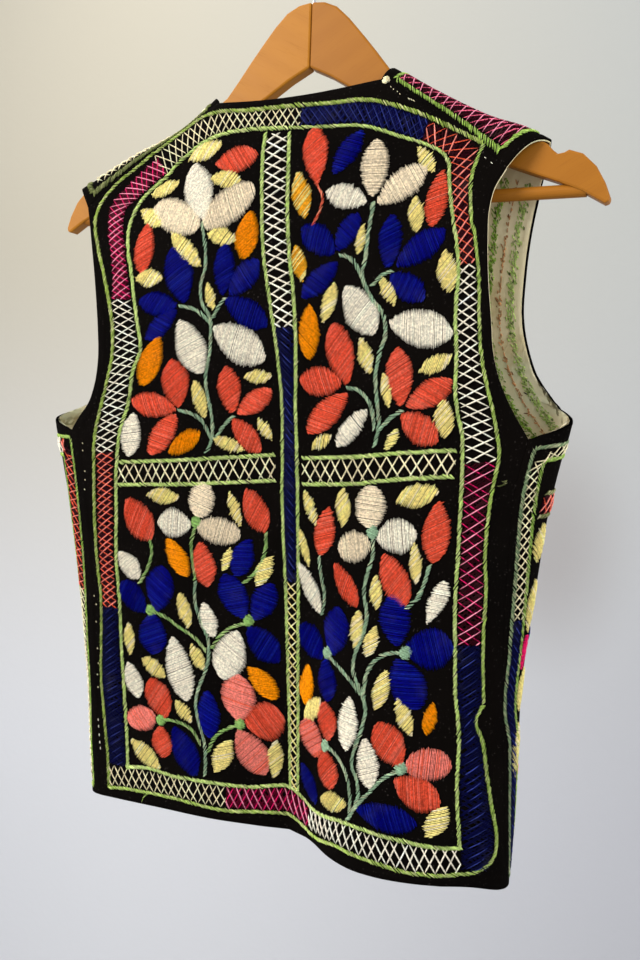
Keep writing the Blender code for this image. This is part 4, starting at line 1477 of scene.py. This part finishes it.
class Finish:
    """A material: its Principled shader, and one method that adds any other node."""

    def __init__(self, name, **values):
        self.material = bpy.data.materials.new(name)
        self.material.use_nodes = True
        self.tree = self.material.node_tree
        self.shader = self.tree.nodes["Principled BSDF"]
        for socket, value in values.items():
            self.shader.inputs[socket.replace("_", " ")].default_value = value

    def node(self, kind, settings=None, values=None, out=0):
        made = self.tree.nodes.new(kind)
        for setting, value in (settings or {}).items():
            setattr(made, setting, value)
        for socket, value in (values or {}).items():
            if isinstance(value, Value):
                self.tree.links.new(value.socket, made.inputs[socket])
            else:
                made.inputs[socket].default_value = value
        return Value(self, made.outputs[out])

    def feed(self, socket, value):
        self.tree.links.new(value.socket, self.shader.inputs[socket])

    def coordinates(self, source="Object"):
        return self.node("ShaderNodeTexCoord", out=source)

    def placed(self, vector, scale=(1.0, 1.0, 1.0), turn=(0.0, 0.0, 0.0)):
        return self.node("ShaderNodeMapping", None, {"Vector": vector, "Rotation": turn, "Scale": scale})

    def noise(self, vector, scale, detail=2.0, roughness=0.5):
        values = {"Vector": vector, "Scale": scale, "Detail": detail, "Roughness": roughness}
        return self.node("ShaderNodeTexNoise", None, values)

    def mixed(self, factor, first, second):
        """Two colours mixed; each is a link or a linear colour."""
        pick = {6: first, 7: second}
        pick = {k: v if isinstance(v, Value) else (*v, 1.0) for k, v in pick.items()}
        return self.node("ShaderNodeMix", {"data_type": "RGBA"}, {0: factor, **pick}, out=2)

    def step(self, value, low, high):
        """0 below low and 1 above high, with a soft rise between."""
        settings = {"interpolation_type": "SMOOTHSTEP"}
        return self.node("ShaderNodeMapRange", settings, {0: value, 1: low, 2: high})

    def relief(self, height, distance, strength):
        values = {"Height": height, "Distance": distance, "Strength": strength}
        self.feed("Normal", self.node("ShaderNodeBump", None, values))


def plain_weave(plan, height, pitch):
    """Over-and-under threads: the product of a sine along the piece and a sine up it."""
    turns = 2 * math.pi / pitch
    return (plan.axis("X") * turns).sine() * (plan.axis("Y") * turns).sine() * height


def black_cotton():
    """Plain black cotton: weave, slight fading, and lint."""
    finish = Finish("black_cotton_weave", Roughness=0.95, Specular_IOR_Level=0.02)
    plan = finish.coordinates("UV")
    place = finish.coordinates()
    black, worn_black = (0.0012, 0.0009, 0.0007), (0.0024, 0.0017, 0.0013)
    fuzz, lint = (0.0045, 0.0032, 0.0026), (0.12, 0.10, 0.09)
    worn = finish.step(finish.noise(place, 14.0, 3.0), 0.35, 0.70)
    threads = finish.noise(place, 1500.0, 2.0, 0.7)
    specks = finish.step(finish.noise(place, 700.0, 1.0), 0.70, 0.76)
    body = finish.mixed(threads * 0.4, finish.mixed(worn, black, worn_black), fuzz)
    finish.feed("Base Color", finish.mixed(specks * 0.2, body, lint))
    finish.relief(plain_weave(plan, 0.5, pitch=0.0009) + threads, 0.00025, 0.8)
    return finish.material


def lining_cotton():
    """Cream lining cotton, washed thin: uneven colour, faint stains and small puckers."""
    finish = Finish("cream_lining_cotton", Roughness=0.85, Sheen_Weight=0.15, Sheen_Roughness=0.5)
    plan = finish.coordinates("UV")
    place = finish.coordinates()
    buff, cream = (0.70, 0.60, 0.35), (0.82, 0.72, 0.47)
    run_dye, brown_stain = (0.56, 0.62, 0.40), (0.52, 0.40, 0.17)
    cloud = finish.step(finish.noise(place, 28.0, 4.0, 0.6), 0.3, 0.7)
    stained = finish.step(finish.noise(place, 34.0, 4.0, 0.6), 0.50, 0.66)
    tinted = finish.step(finish.noise(place, 19.0, 3.0), 0.46, 0.62)
    body = finish.mixed(tinted * 0.6, finish.mixed(cloud, buff, cream), run_dye)
    finish.feed("Base Color", finish.mixed(stained * 0.55, body, brown_stain))
    pucker = finish.noise(finish.placed(plan, (220.0, 70.0, 1.0)), 1.0, 2.0)
    finish.relief(pucker * 2.0 + plain_weave(plan, 0.2, pitch=0.0008), 0.0007, 0.8)
    return finish.material


def embroidery_thread():
    """Loose-twist cotton thread in each stitch's own shade, with a silky gloss."""
    finish = Finish("embroidery_thread", Roughness=0.55, Specular_IOR_Level=0.05)
    shade = finish.node("ShaderNodeAttribute", {"attribute_name": "thread_colour"})
    place = finish.coordinates()
    fibre = finish.noise(place, 2600.0, 2.0, 0.6)
    fleck = finish.noise(place, 640.0, 3.0, 0.7)
    worn = finish.noise(place, 60.0, 3.0)
    black, dust = (0.0, 0.0, 0.0), (0.55, 0.50, 0.42)
    dark = finish.mixed(0.52, shade, black)
    body = finish.mixed(finish.step(fibre, 0.25, 0.50), dark, shade)
    body = finish.mixed(finish.step(fleck, 0.60, 0.40) * 0.8, body, dark)
    finish.feed("Base Color", finish.mixed(finish.step(worn, 0.5, 0.8) * 0.02, body, dust))
    finish.feed("Roughness", 0.42 + worn * 0.2)
    finish.relief(fibre, 0.0002, 0.6)
    return finish.material


# LIT_WOOD is the same wood painted lighter, as painted light on the left arm; WOOD serves the right arm
# and the bar
WOOD, LIT_WOOD, WOOD_PORES = (0.28, 0.103, 0.009), (0.345, 0.134, 0.011), (0.16, 0.048, 0.005)
LATE_WOOD = (0.82, 0.76, 0.60)  # shade of the grain's dark lines against the rest
ARM_FALL = math.radians(29.0)


def pale_wood(name, slope, light):
    """Varnished pale wood, its grain running along an arm that falls at the slope."""
    finish = Finish(name, Specular_IOR_Level=0.12)
    place = finish.placed(finish.coordinates(), turn=(0.0, slope, 0.0))
    wander = finish.noise(finish.placed(place, (4.0, 30.0, 14.0)), 1.0, 2.0)
    rings = (place.axis("Z") * 330.0 + place.axis("Y") * 160.0 + wander * 14.0).sine()
    pores = finish.noise(finish.placed(place, (40.0, 900.0, 900.0)), 1.0, 2.0, 0.7)
    dark = tuple(np.array(light) * LATE_WOOD)
    body = finish.mixed(finish.step(rings, -1.0, 1.0) * 0.22, light, dark)
    body = finish.mixed(finish.step(pores, 0.54, 0.72) * 0.22, body, WOOD_PORES)
    finish.feed("Base Color", body)
    finish.feed("Roughness", 0.36 + pores * 0.16)
    finish.relief(pores, 0.0001, 0.3)
    return finish.material


def steel_wire():
    """Bright drawn wire with faint draw marks and fine scratches."""
    finish = Finish("steel_wire_drawn", Metallic=1.0)
    place = finish.coordinates()
    marks = finish.noise(finish.placed(place, (260.0, 2200.0, 260.0)), 1.0, 2.0)
    dull, bright = (0.50, 0.50, 0.50), (0.72, 0.72, 0.71)
    finish.feed("Base Color", finish.mixed(marks, dull, bright))
    finish.feed("Roughness", 0.18 + marks * 0.2)
    finish.relief(marks, 0.00005, 0.5)
    return finish.material


# ------------------------------------------------------------ pieces of needlework

# a petal's widest place, and the roundness of its base and of its tip
FORMS = {
    "leaf": (0.50, 0.75, 0.75),
    "petal": (0.56, 0.66, 0.62),
    "oval": (0.50, 0.42, 0.42),
    "block": (0.50, 0.26, 0.26),
    "drop": (0.62, 0.90, 0.45),
    "bud": (0.38, 0.42, 0.90),
}
# how each dye's petals are worked: form, leans taken in turn, and the petal's other values
WORKED = {
    "white": ("petal", (110, 84, 104, 78), {"uneven": 0.05}),
    "ivory": ("oval", (84, 96, 78, 88), {"uneven": 0.05}),
    "yellow": ("leaf", None, {"pitch": 0.00112, "radius": 0.00066, "fullness": 0.0004,
                              "ragged": 0.0006, "second": DYES["cream"], "share": 0.15}),
    "gold": ("leaf", None, {"pitch": 0.0011, "radius": 0.00064, "fullness": 0.0004,
                            "ragged": 0.0005, "second": DYES["yellow"], "share": 0.4}),
    "orange": ("petal", (42, 138, 48), {"uneven": 0.05}),
    "coral": ("petal", (122, 114, 128, 118), {"second": DYES["flame"], "share": 0.3}),
    "salmon": ("oval", (102, 80, 118), {"second": DYES["flame"], "share": 0.2}),
    "magenta": ("block", (96, 84), {"uneven": 0.12}),
    "blue": ("petal", (76, 104, 62, 118), {"uneven": 0.14, "second": DYES["ultramarine"],
                                           "share": 0.25}),
}
LEAF_SLANT = 52  # direction of the leaves' stitches on the back, degrees from the right
LEAF_LEANS = (42, 138)  # least and most that they lean from a leaf's own axis
STEM, FINE_STEM = 0.0036, 0.0026  # widths of the green stems, and of the coral ones
FLOWER_KNOT = 0.0088


def sew_petals(work, rows):
    """A panel's petals and leaves, each by its dye's way and by its own form where it names one."""
    for turn, (dye, right, height, direction, length, width, *own) in enumerate(rows):
        form, leans, values = WORKED[dye]
        form = FORMS[own[0] if own else form]
        foot = mm([right, height])
        own_lean = np.clip((LEAF_SLANT - direction) % 180, *LEAF_LEANS)
        lean = leans[turn % len(leans)] if leans else own_lean
        petal(work, foot, direction, length * MM, width * MM, DYES[dye], form, lean, **values)


def sew_stems(work, stems, knots):
    """A panel's stems, and the raised knots that its flowers grow from."""
    for dye, line in stems:
        width = FINE_STEM if dye == "coral" else STEM
        rope(work, Route(mm(line)), width, DYES[dye], stitch=0.0050, pitch=0.0016)
    for place in knots:
        knot(work, mm(place), FLOWER_KNOT, DYES["leaf_green" if place[0] < 0 else "sage"])


# lattices: ground under them | dyes of the two ways | pitch | lean | radius
LATTICES = {
    "white": (None, "white", "white", 0.0076, 1.4, 0.00070),
    "cream": (None, "cream", "cream", 0.0071, 1.4, 0.00056),
    "blue": ("indigo", "slate", "slate", 0.0060, 2.1, 0.00042),
    "magenta": ("maroon", "magenta", "rose", 0.0074, 1.1, 0.00060),
    "crimson": ("wine", "magenta", "rose", 0.0069, 1.4, 0.00072),
    "coral": ("maroon", "coral", "salmon", 0.0073, 1.15, 0.00070),
    "pink": ("maroon", "pink", "rose", 0.0078, 1.3, 0.00060),
}
NAVY_PITCH = 0.0017
# lighter stitches over the navy, as painted highlights: pitch and its spread, run along the band, share
# of its width
GLINT_PITCH, GLINT_SPREAD, GLINT_RUN, GLINT_FILL = 0.0067, 0.0007, 0.008, 0.55
GROUND_PITCH = 0.0018


def navy_band(work, band, fill):
    """Close dark stitches with a few lighter ones laid over them as painted highlights."""
    close_filling(work, band, DYES["navy"], NAVY_PITCH, fill)
    first = np.arange(-0.01, band.length, GLINT_PITCH)
    first = first + chance.normal(0.0, GLINT_SPREAD, len(first))
    # painted highlights: lighter slate stitches standing in for the gloss on the navy
    crossed(work, band, first, first + GLINT_RUN, GLINT_FILL, 0.0005, 0.0009, DYES["slate"], 0.3)


def sew_band(work, band, dye, fill=FILL, weave=None):
    """A band by its dye's way: close dark stitches, or a lattice, alone or over a filled ground."""
    if dye == "navy":
        navy_band(work, band, fill)
        return
    ground, under, over, pitch, lean, radius = LATTICES[dye]
    if weave is not None:
        pitch, run, fill = weave
        lean = run / pitch
    if ground:
        close_filling(work, band, DYES[ground], GROUND_PITCH, fill - GROUND_INSET, rise=0.0001)
    herringbone(work, band, under, over, pitch, lean, radius, fill)


def between(line, low, high, count=16):
    """Points of a line that runs down, at even heights between two."""
    line = mm(line)
    height = np.linspace(low, high, count) * MM
    right = np.interp(-height, -line[:, 1], line[:, 0])
    return np.column_stack([right, height])


def back_bands(finish):
    """The frame round the back, the bands down its centre and the two across."""
    work = Needlework(on_back)
    for place, (dye, stations) in FRAME.items():
        rows = mm(stations)
        sew_band(work, Band(rows[:, :2], rows[:, 2:]), dye, weave=WEAVES.get(place))
    for dye, top, foot, *lattice in CENTRE_BANDS:
        band = Band(between(CENTRE_LEFT, top, foot), between(CENTRE_RIGHT, top, foot))
        if lattice:
            herringbone(work, band, dye, *lattice)
        else:
            sew_band(work, band, dye)
    for upper, lower in (CROSS_LEFT, CROSS_RIGHT):
        herringbone(work, Band(mm(upper), mm(lower)), "cream", "cream", 0.0086, 1.15, 0.00072)
    return work.mesh("back_bands", finish)


def back_lines(finish):
    """Green stem-stitch lines along both sides of every band, and the basting."""
    work = Needlework(on_back)
    for dye, width, line in LINES:
        rope(work, Route(mm(line)), mm(width), DYES[dye])
    for line in (CENTRE_LEFT, CENTRE_RIGHT, *CROSS_LEFT, *CROSS_RIGHT):
        rope(work, Route(mm(line)), CENTRE_LINE, DYES["spring"])
    for dye, line in BASTING:
        route = Route(mm(line))
        if dye == "white":
            running_stitch(work, route, DYES["white"])
        else:
            rope(work, route, LOOSE_END, DYES[dye], stitch=0.003)
    places = mm(DOTS)
    work.sew(places, places + DOT_RUN, 0.0004, 0.0004, DYES["cream"])
    knot(work, mm(NECK_KNOT), 0.0055, DYES["cream"])
    return work.mesh("back_green_lines", finish)


def front_border(side):
    """A front's border in its own plan, side seam first, then armhole, shoulder, neck and hem."""
    s, z = front_pattern(side)
    rim = rim_of(*s.shape)
    t = half_girth(side, z) - np.abs(s)
    low = z[:, 0] < UNDERARM
    reach = np.repeat(smooth(FRONT_SIDE_REACH[side], z[low, 0])[:, None], t.shape[1], axis=1)
    t[low, 0] += np.maximum(reach[:, 0], 0.0)
    t[low] = np.minimum(t[low], half_girth(side, z[low]) + reach)
    t, z = t.ravel()[rim], z.ravel()[rim]
    loop = np.column_stack([t, z])
    start = np.argmax(loop[:, 0] - loop[:, 1])
    return np.roll(loop, -start, axis=0)


def closed_route(loop):
    """A line through a border's points and back to its first one."""
    return Route(np.concatenate([loop, loop[:1]]), smooth_line=False)


def inset(loop, distance):
    """A closed line moved inwards by the distance, with its overrun at corners taken off."""
    even = closed_route(loop)
    points = even.at(np.arange(0.0, even.length, INSET_STEP))
    way = unit(np.roll(points, -1, axis=0) - np.roll(points, 1, axis=0))
    left = np.column_stack([-way[:, 1], way[:, 0]])
    centre = points.mean(axis=0)
    if np.sum(left * (centre - points)) < 0:
        left = -left
    moved = points + left * distance
    gaps = np.linalg.norm(moved[:, None, :] - points[None, :, :], axis=-1).min(axis=1)
    return moved[gaps > distance - INSET_SLACK]


def front_needlework(side, name, finish):
    """Frame, cross band and two plants of a front, in lines worked out from its own border."""
    ground = on_front(side)
    loop = front_border(side)
    width = FRONT_BAND[side]
    line = closed_route(inset(loop, FRONT_MARGIN + width / 2))
    bands = Needlework(ground)
    outer_dye, stretches = FRONT_DYES[side]
    ends = [share for share, _ in stretches[1:]] + [1.0]
    for (low, dye), high in zip(stretches, ends):
        place = np.linspace(low * line.length, high * line.length, 24)
        points = line.at(place)
        half = line.beside(place) * width / 2
        sew_band(bands, Band(points + half, points - half), dye)
    sew_band(bands, Band(*map(mm, FRONT_CROSS)), "coral")
    for distance, dye in ((FRONT_MARGIN, outer_dye), (FRONT_MARGIN + width, "lime")):
        border = inset(loop, distance)
        rope(bands, closed_route(border), FRONT_LINE, DYES[dye])
    for border in FRONT_CROSS:
        rope(bands, Route(mm(border)), FRONT_LINE, DYES["olive"])
    plants = Needlework(ground)
    sew_stems(plants, [("sage", line) for line in FRONT_STEMS], FRONT_KNOTS)
    sew_petals(plants, FRONT_UPPER)
    sew_petals(plants, FRONT_LOWER)
    return [bands.mesh(name + "_bands", finish), plants.mesh(name + "_plants", finish)]


def strip_needlework(side, name, finish):
    """Two bands side by side along the shoulder ridge, inside a green oblong."""
    dye, line_dye, begin, band_end, end, reach, width, fill, weight = STRIP_FRAME[side]
    share = np.linspace(begin, end, 9)
    along = share * STRIP_LENGTH
    half = np.linspace(*reach, len(share)) * smooth(STRIP_WIDTHS, share)
    front, back = np.column_stack([along, half]), np.column_stack([along, -half])
    work = Needlework(on_strip(side))
    short = (band_end - begin) / (end - begin)
    across = (half, 0.0 * half, -half)
    edges = [np.column_stack([along[0] + (along - along[0]) * short, reach]) for reach in across]
    for upper, lower in zip(edges, edges[1:]):
        sew_band(work, Band(upper, lower), dye, fill)
    arm_end, neck_end = np.array([back[-1], front[-1]]), np.array([front[0], back[0]])
    for line in (back, arm_end, front[::-1], neck_end):
        # the line's stitches are lightened towards cream by the strip's share, as painted glints
        rope(work, Route(line, smooth_line=False), width, DYES[line_dye], weight=weight)
    return work.mesh(name, finish)


def lining_needlework(side, name, finish):
    """Backs of the stitches that show through the lining beside the armholes."""
    front = Needlework(inside_of(on_front(side)))
    arm_s, arm_z = front_armhole(side)
    edge = np.column_stack([half_girth(side, arm_z) - arm_s, arm_z])
    route = Route(edge, smooth_line=False)
    place = np.linspace(LINING_START, route.length - LINING_STOP, 60)
    for distance, width, dye in LINING_LINES:
        line = Route(route.at(place) + inward_of(route, place, FRONT_MIDDLE) * distance)
        if width < FINE_LINE:
            running_stitch(front, line, DYES[dye], stitch=0.0035, gap=0.0012, radius=0.0005)
            scattered(front, line, 0.003, DYES[dye], pitch=0.0018)
        else:
            scattered(front, line, width, DYES[dye], pitch=0.0004)
    return front.mesh(name, finish)


def edge_piping(finish):
    """The lining's edge, rolled out along the back's armholes and the arm ends of the strips."""
    lines = []
    for side in (LEFT, RIGHT):
        arm_s, arm_z = back_armhole(side)
        points, normals = cloth(side * (arm_s + PIPING_OUT), arm_z)
        lines.append(points - normals * (CLOTH + PIPING * 0.6))
        points, normals = strip_surface(side)
        lines.append((points - normals * CLOTH)[:, -1])
    return piping("armhole_edges", lines, PIPING, finish)


def rolled_edges(finish):
    """The fronts' armhole edges, where the black cloth is turned in thick over the lining."""
    lines = []
    for side in (LEFT, RIGHT):
        arm_s, arm_z = front_armhole(side)
        points, normals = cloth(side * arm_s, arm_z)
        lines.append((points - normals * CLOTH)[2:-2])
    return piping("front_armhole_edges", lines, ROLL, finish)


def inward_of(route, place, centre):
    """Unit vectors beside a route, on the side where the centre lies."""
    beside = route.beside(place)
    towards = np.sum(beside * (np.array(centre) - route.at(place)), axis=1).sum()
    return beside if towards > 0 else -beside


# ------------------------------------------------------------ building the garment


def shoulder_shell(side, name, finish):
    """A strip's cloth wall, its ends raised where they are turned in."""
    points, normals = strip_surface(side)
    share = shoulder_columns()
    along, over = np.broadcast_arrays(share * STRIP_LENGTH, ARCH[:, None] * smooth(STRIP_WIDTHS, share))
    plan = np.stack([along, over], axis=-1)
    rise = turning(np.minimum(along, STRIP_LENGTH - along) + STRIP_SEAM)
    outer = points + normals * rise[..., None]
    return wall(name, outer, points - normals * CLOTH, plan, finish)


def dress(piece, slot, *nodes):
    """Hang a piece on the body and hide the nodes that it stands for; the slot is not used."""
    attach(piece, "root")
    if nodes:
        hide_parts(*nodes)
    return piece


def make_garment():
    """The back with its plants, then each front with its shoulder strip."""
    black, cream, thread = black_cotton(), lining_cotton(), embroidery_thread()

    back, back_lining = cloth_and_lining("back", back_pattern(), black, cream)
    dress(back, "black_cotton", "back")
    dress(back_lining, "cream_cotton", "lining_back")
    needlework = [back_bands(thread), back_lines(thread)]
    panels = {"upper_left": UPPER_LEFT, "upper_right": UPPER_RIGHT,
              "lower_left": LOWER_LEFT, "lower_right": LOWER_RIGHT}
    for panel, rows in panels.items():
        work = Needlework(on_back)
        sew_stems(work, STEMS[panel], KNOTS.get(panel, []))
        sew_petals(work, rows)
        needlework.append(work.mesh("back_plant_" + panel, thread))
    for piece in needlework:
        dress(piece, "black_cotton")
    dress(edge_piping(cream), "cream_cotton")
    dress(rolled_edges(black), "black_cotton")

    for side, word in ((LEFT, "left"), (RIGHT, "right")):
        name = "front_" + word
        front, lining = cloth_and_lining(name, front_pattern(side), black, cream)
        dress(front, "black_cotton", name)
        dress(lining, "cream_cotton", "lining_" + name)
        sewn = front_needlework(side, name, thread)
        through = lining_needlework(side, name + "_lining_stitches", thread)
        strip = "shoulder_" + word
        shell = dress(shoulder_shell(side, strip + "_cloth", black), "black_cotton", strip)
        band = strip_needlework(side, strip + "_band", thread)
        for piece in (*sewn, through, band):
            dress(piece, "black_cotton")


def finish_hanger():
    """Wood and steel on the hanger's own nodes."""
    for node, finish in (
        # the left arm takes the lighter copy of the wood: painted light
        ("hanger_arm_left", pale_wood("pale_wood_left_arm_painted_lit", ARM_FALL, LIT_WOOD)),
        ("hanger_arm_right", pale_wood("pale_wood_right_arm", -ARM_FALL, WOOD)),
        ("trouser_bar", pale_wood("pale_wood_bar", 0.0, WOOD)),
        ("hook", steel_wire()),
    ):
        for slot in bpy.data.objects[node].material_slots:
            slot.material = finish


# ------------------------------------------------------------ room, light and camera

WALL_Y = -1.75
FLOOR_Z = -3.0
ROOM = 6.0
SHADE_PLACE = (0.08, WALL_Y, -0.70)
SHADE_REACH = (0.26, 1.0, 0.42)
# colours of the wall at its right and left, the left foot much lighter as painted light, and of the
# painted shadow on it
WALL_TOP = (0.358, 0.372, 0.367), (0.398, 0.371, 0.302)
WALL_FOOT = (0.372, 0.376, 0.402), (0.590, 0.597, 0.618)
WALL_SHADE = (0.225, 0.20, 0.19)


def plaster_wall():
    """Painted plaster, warmer at one top corner and bluer at the foot, with painted light making it
    lighter towards the lower left and a painted shadow beside the garment.
    """
    finish = Finish("plaster_wall", Roughness=0.95, Specular_IOR_Level=0.2)
    place = finish.coordinates()
    height = finish.step(place.axis("Z"), -1.6, 0.3)
    side = finish.step(place.axis("X"), -0.8, 1.6)
    # the side and height mixes paint light on the wall: much lighter towards the lower left
    body = finish.mixed(height, finish.mixed(side, *WALL_FOOT), finish.mixed(side, *WALL_TOP))
    away = place
    for operation, other in (("SUBTRACT", SHADE_PLACE), ("DIVIDE", SHADE_REACH)):
        away = finish.node("ShaderNodeVectorMath", {"operation": operation}, {0: away, 1: other})
    away = finish.node("ShaderNodeVectorMath", {"operation": "LENGTH"}, {0: away}, out="Value")
    # painted shadow of the garment on the wall, darkest at its centre
    shade = finish.step(away, 1.0, 0.1) * 0.5
    finish.feed("Base Color", finish.mixed(shade, body, WALL_SHADE))
    finish.relief(finish.noise(place, 40.0, 3.0), 0.002, 0.3)
    return finish.material


def pale_floor():
    """Pale floor with a faint cloud."""
    finish = Finish("pale_floor", Roughness=0.9)
    grain = finish.noise(finish.coordinates(), 3.0, 4.0)
    finish.feed("Base Color", finish.mixed(grain, (0.66, 0.66, 0.66), (0.70, 0.70, 0.69)))
    return finish.material


def make_room():
    """A wall and a floor, each one square from the corner where they meet."""
    half = ROOM / 2
    one, other = np.array([-half, WALL_Y, FLOOR_Z]), np.array([half, WALL_Y, FLOOR_Z])
    up, out = np.array([0.0, 0.0, ROOM]), np.array([0.0, ROOM, 0.0])
    faces = [np.array([[3, 2, 1, 0]])]
    for name, points, finish in (
        ("room_wall", (one, other, other + up, one + up), plaster_wall()),
        ("room_floor", (one, one + out, other + out, other), pale_floor()),
    ):
        put_mesh(name, np.array(points), faces, finish)


def stood(right, up, back, place):
    """The matrix of a lamp or camera that looks against the back vector."""
    matrix = np.eye(4)
    matrix[:3] = np.column_stack([right, up, back, place])
    return Matrix(matrix.tolist())


def soft_light(name, place, aim, size, power, colour):
    """A square lamp that faces its aim."""
    lamp = bpy.data.lights.new(name, "AREA")
    lamp.shape = "SQUARE"
    lamp.size = size
    lamp.energy = power
    lamp.color = colour
    stand = bpy.data.objects.new(name, lamp)
    bpy.context.scene.collection.objects.link(stand)
    back = unit(np.array(place) - np.array(aim))
    across = unit(np.cross((0.0, 0.0, 1.0), back))
    stand.matrix_world = stood(across, np.cross(back, across), back, place)


def light_room():
    """A big window light, a fill, a wash on the wall and a small bounce, under a pale sky."""
    middle = (0.0, 0.0, -0.45)
    soft_light("window", (1.7, 1.9, 1.0), middle, 1.2, 112.0, (1.0, 0.97, 0.93))
    soft_light("fill", (-2.0, 1.2, 0.1), middle, 1.8, 28.0, (0.94, 0.97, 1.0))
    soft_light("wall_wash", (1.2, -0.5, 1.5), (-0.2, WALL_Y, -0.6), 1.5, 21.0, (1.0, 0.98, 0.95))
    soft_light("bounce", (-0.85, -0.05, -0.10), (-0.10, -0.04, -0.18), 0.5, 3.0, (1.0, 0.97, 0.90))
    world = bpy.data.worlds.new("soft_room")
    world.use_nodes = True
    sky = world.node_tree.nodes["Background"]
    sky.inputs["Color"].default_value = (0.93, 0.95, 1.0, 1.0)
    sky.inputs["Strength"].default_value = 0.75
    bpy.context.scene.world = world
    bpy.context.scene.view_settings.view_transform = "Standard"


CAMERA_PLACE = np.array([-0.27901, 0.63879, -0.39191])
CAMERA_YAW, CAMERA_PITCH, CAMERA_ROLL = 0.40045, -0.06348, 0.01519
CAMERA_LENS = 33.75


def place_camera():
    """A view turned by the yaw from straight behind, dipped by the pitch and rolled."""
    yaw, pitch, roll = CAMERA_YAW, CAMERA_PITCH, CAMERA_ROLL
    level = np.array([-math.cos(yaw), -math.sin(yaw), 0.0])
    forward = np.array([math.sin(yaw), -math.cos(yaw), 0.0])
    ahead = forward * math.cos(pitch) + (0.0, 0.0, math.sin(pitch))
    above = np.cross(level, ahead)
    right = level * math.cos(roll) + above * math.sin(roll)
    up = -level * math.sin(roll) + above * math.cos(roll)
    data = bpy.data.cameras.new("camera")
    data.lens = CAMERA_LENS
    data.sensor_width = 36.0
    data.sensor_fit = "AUTO"
    data.clip_start = 0.01
    camera = bpy.data.objects.new("camera", data)
    bpy.context.scene.collection.objects.link(camera)
    camera.matrix_world = stood(right, up, -ahead, CAMERA_PLACE)
    bpy.context.scene.camera = camera


place_camera()
make_garment()
finish_hanger()
make_room()
light_room()
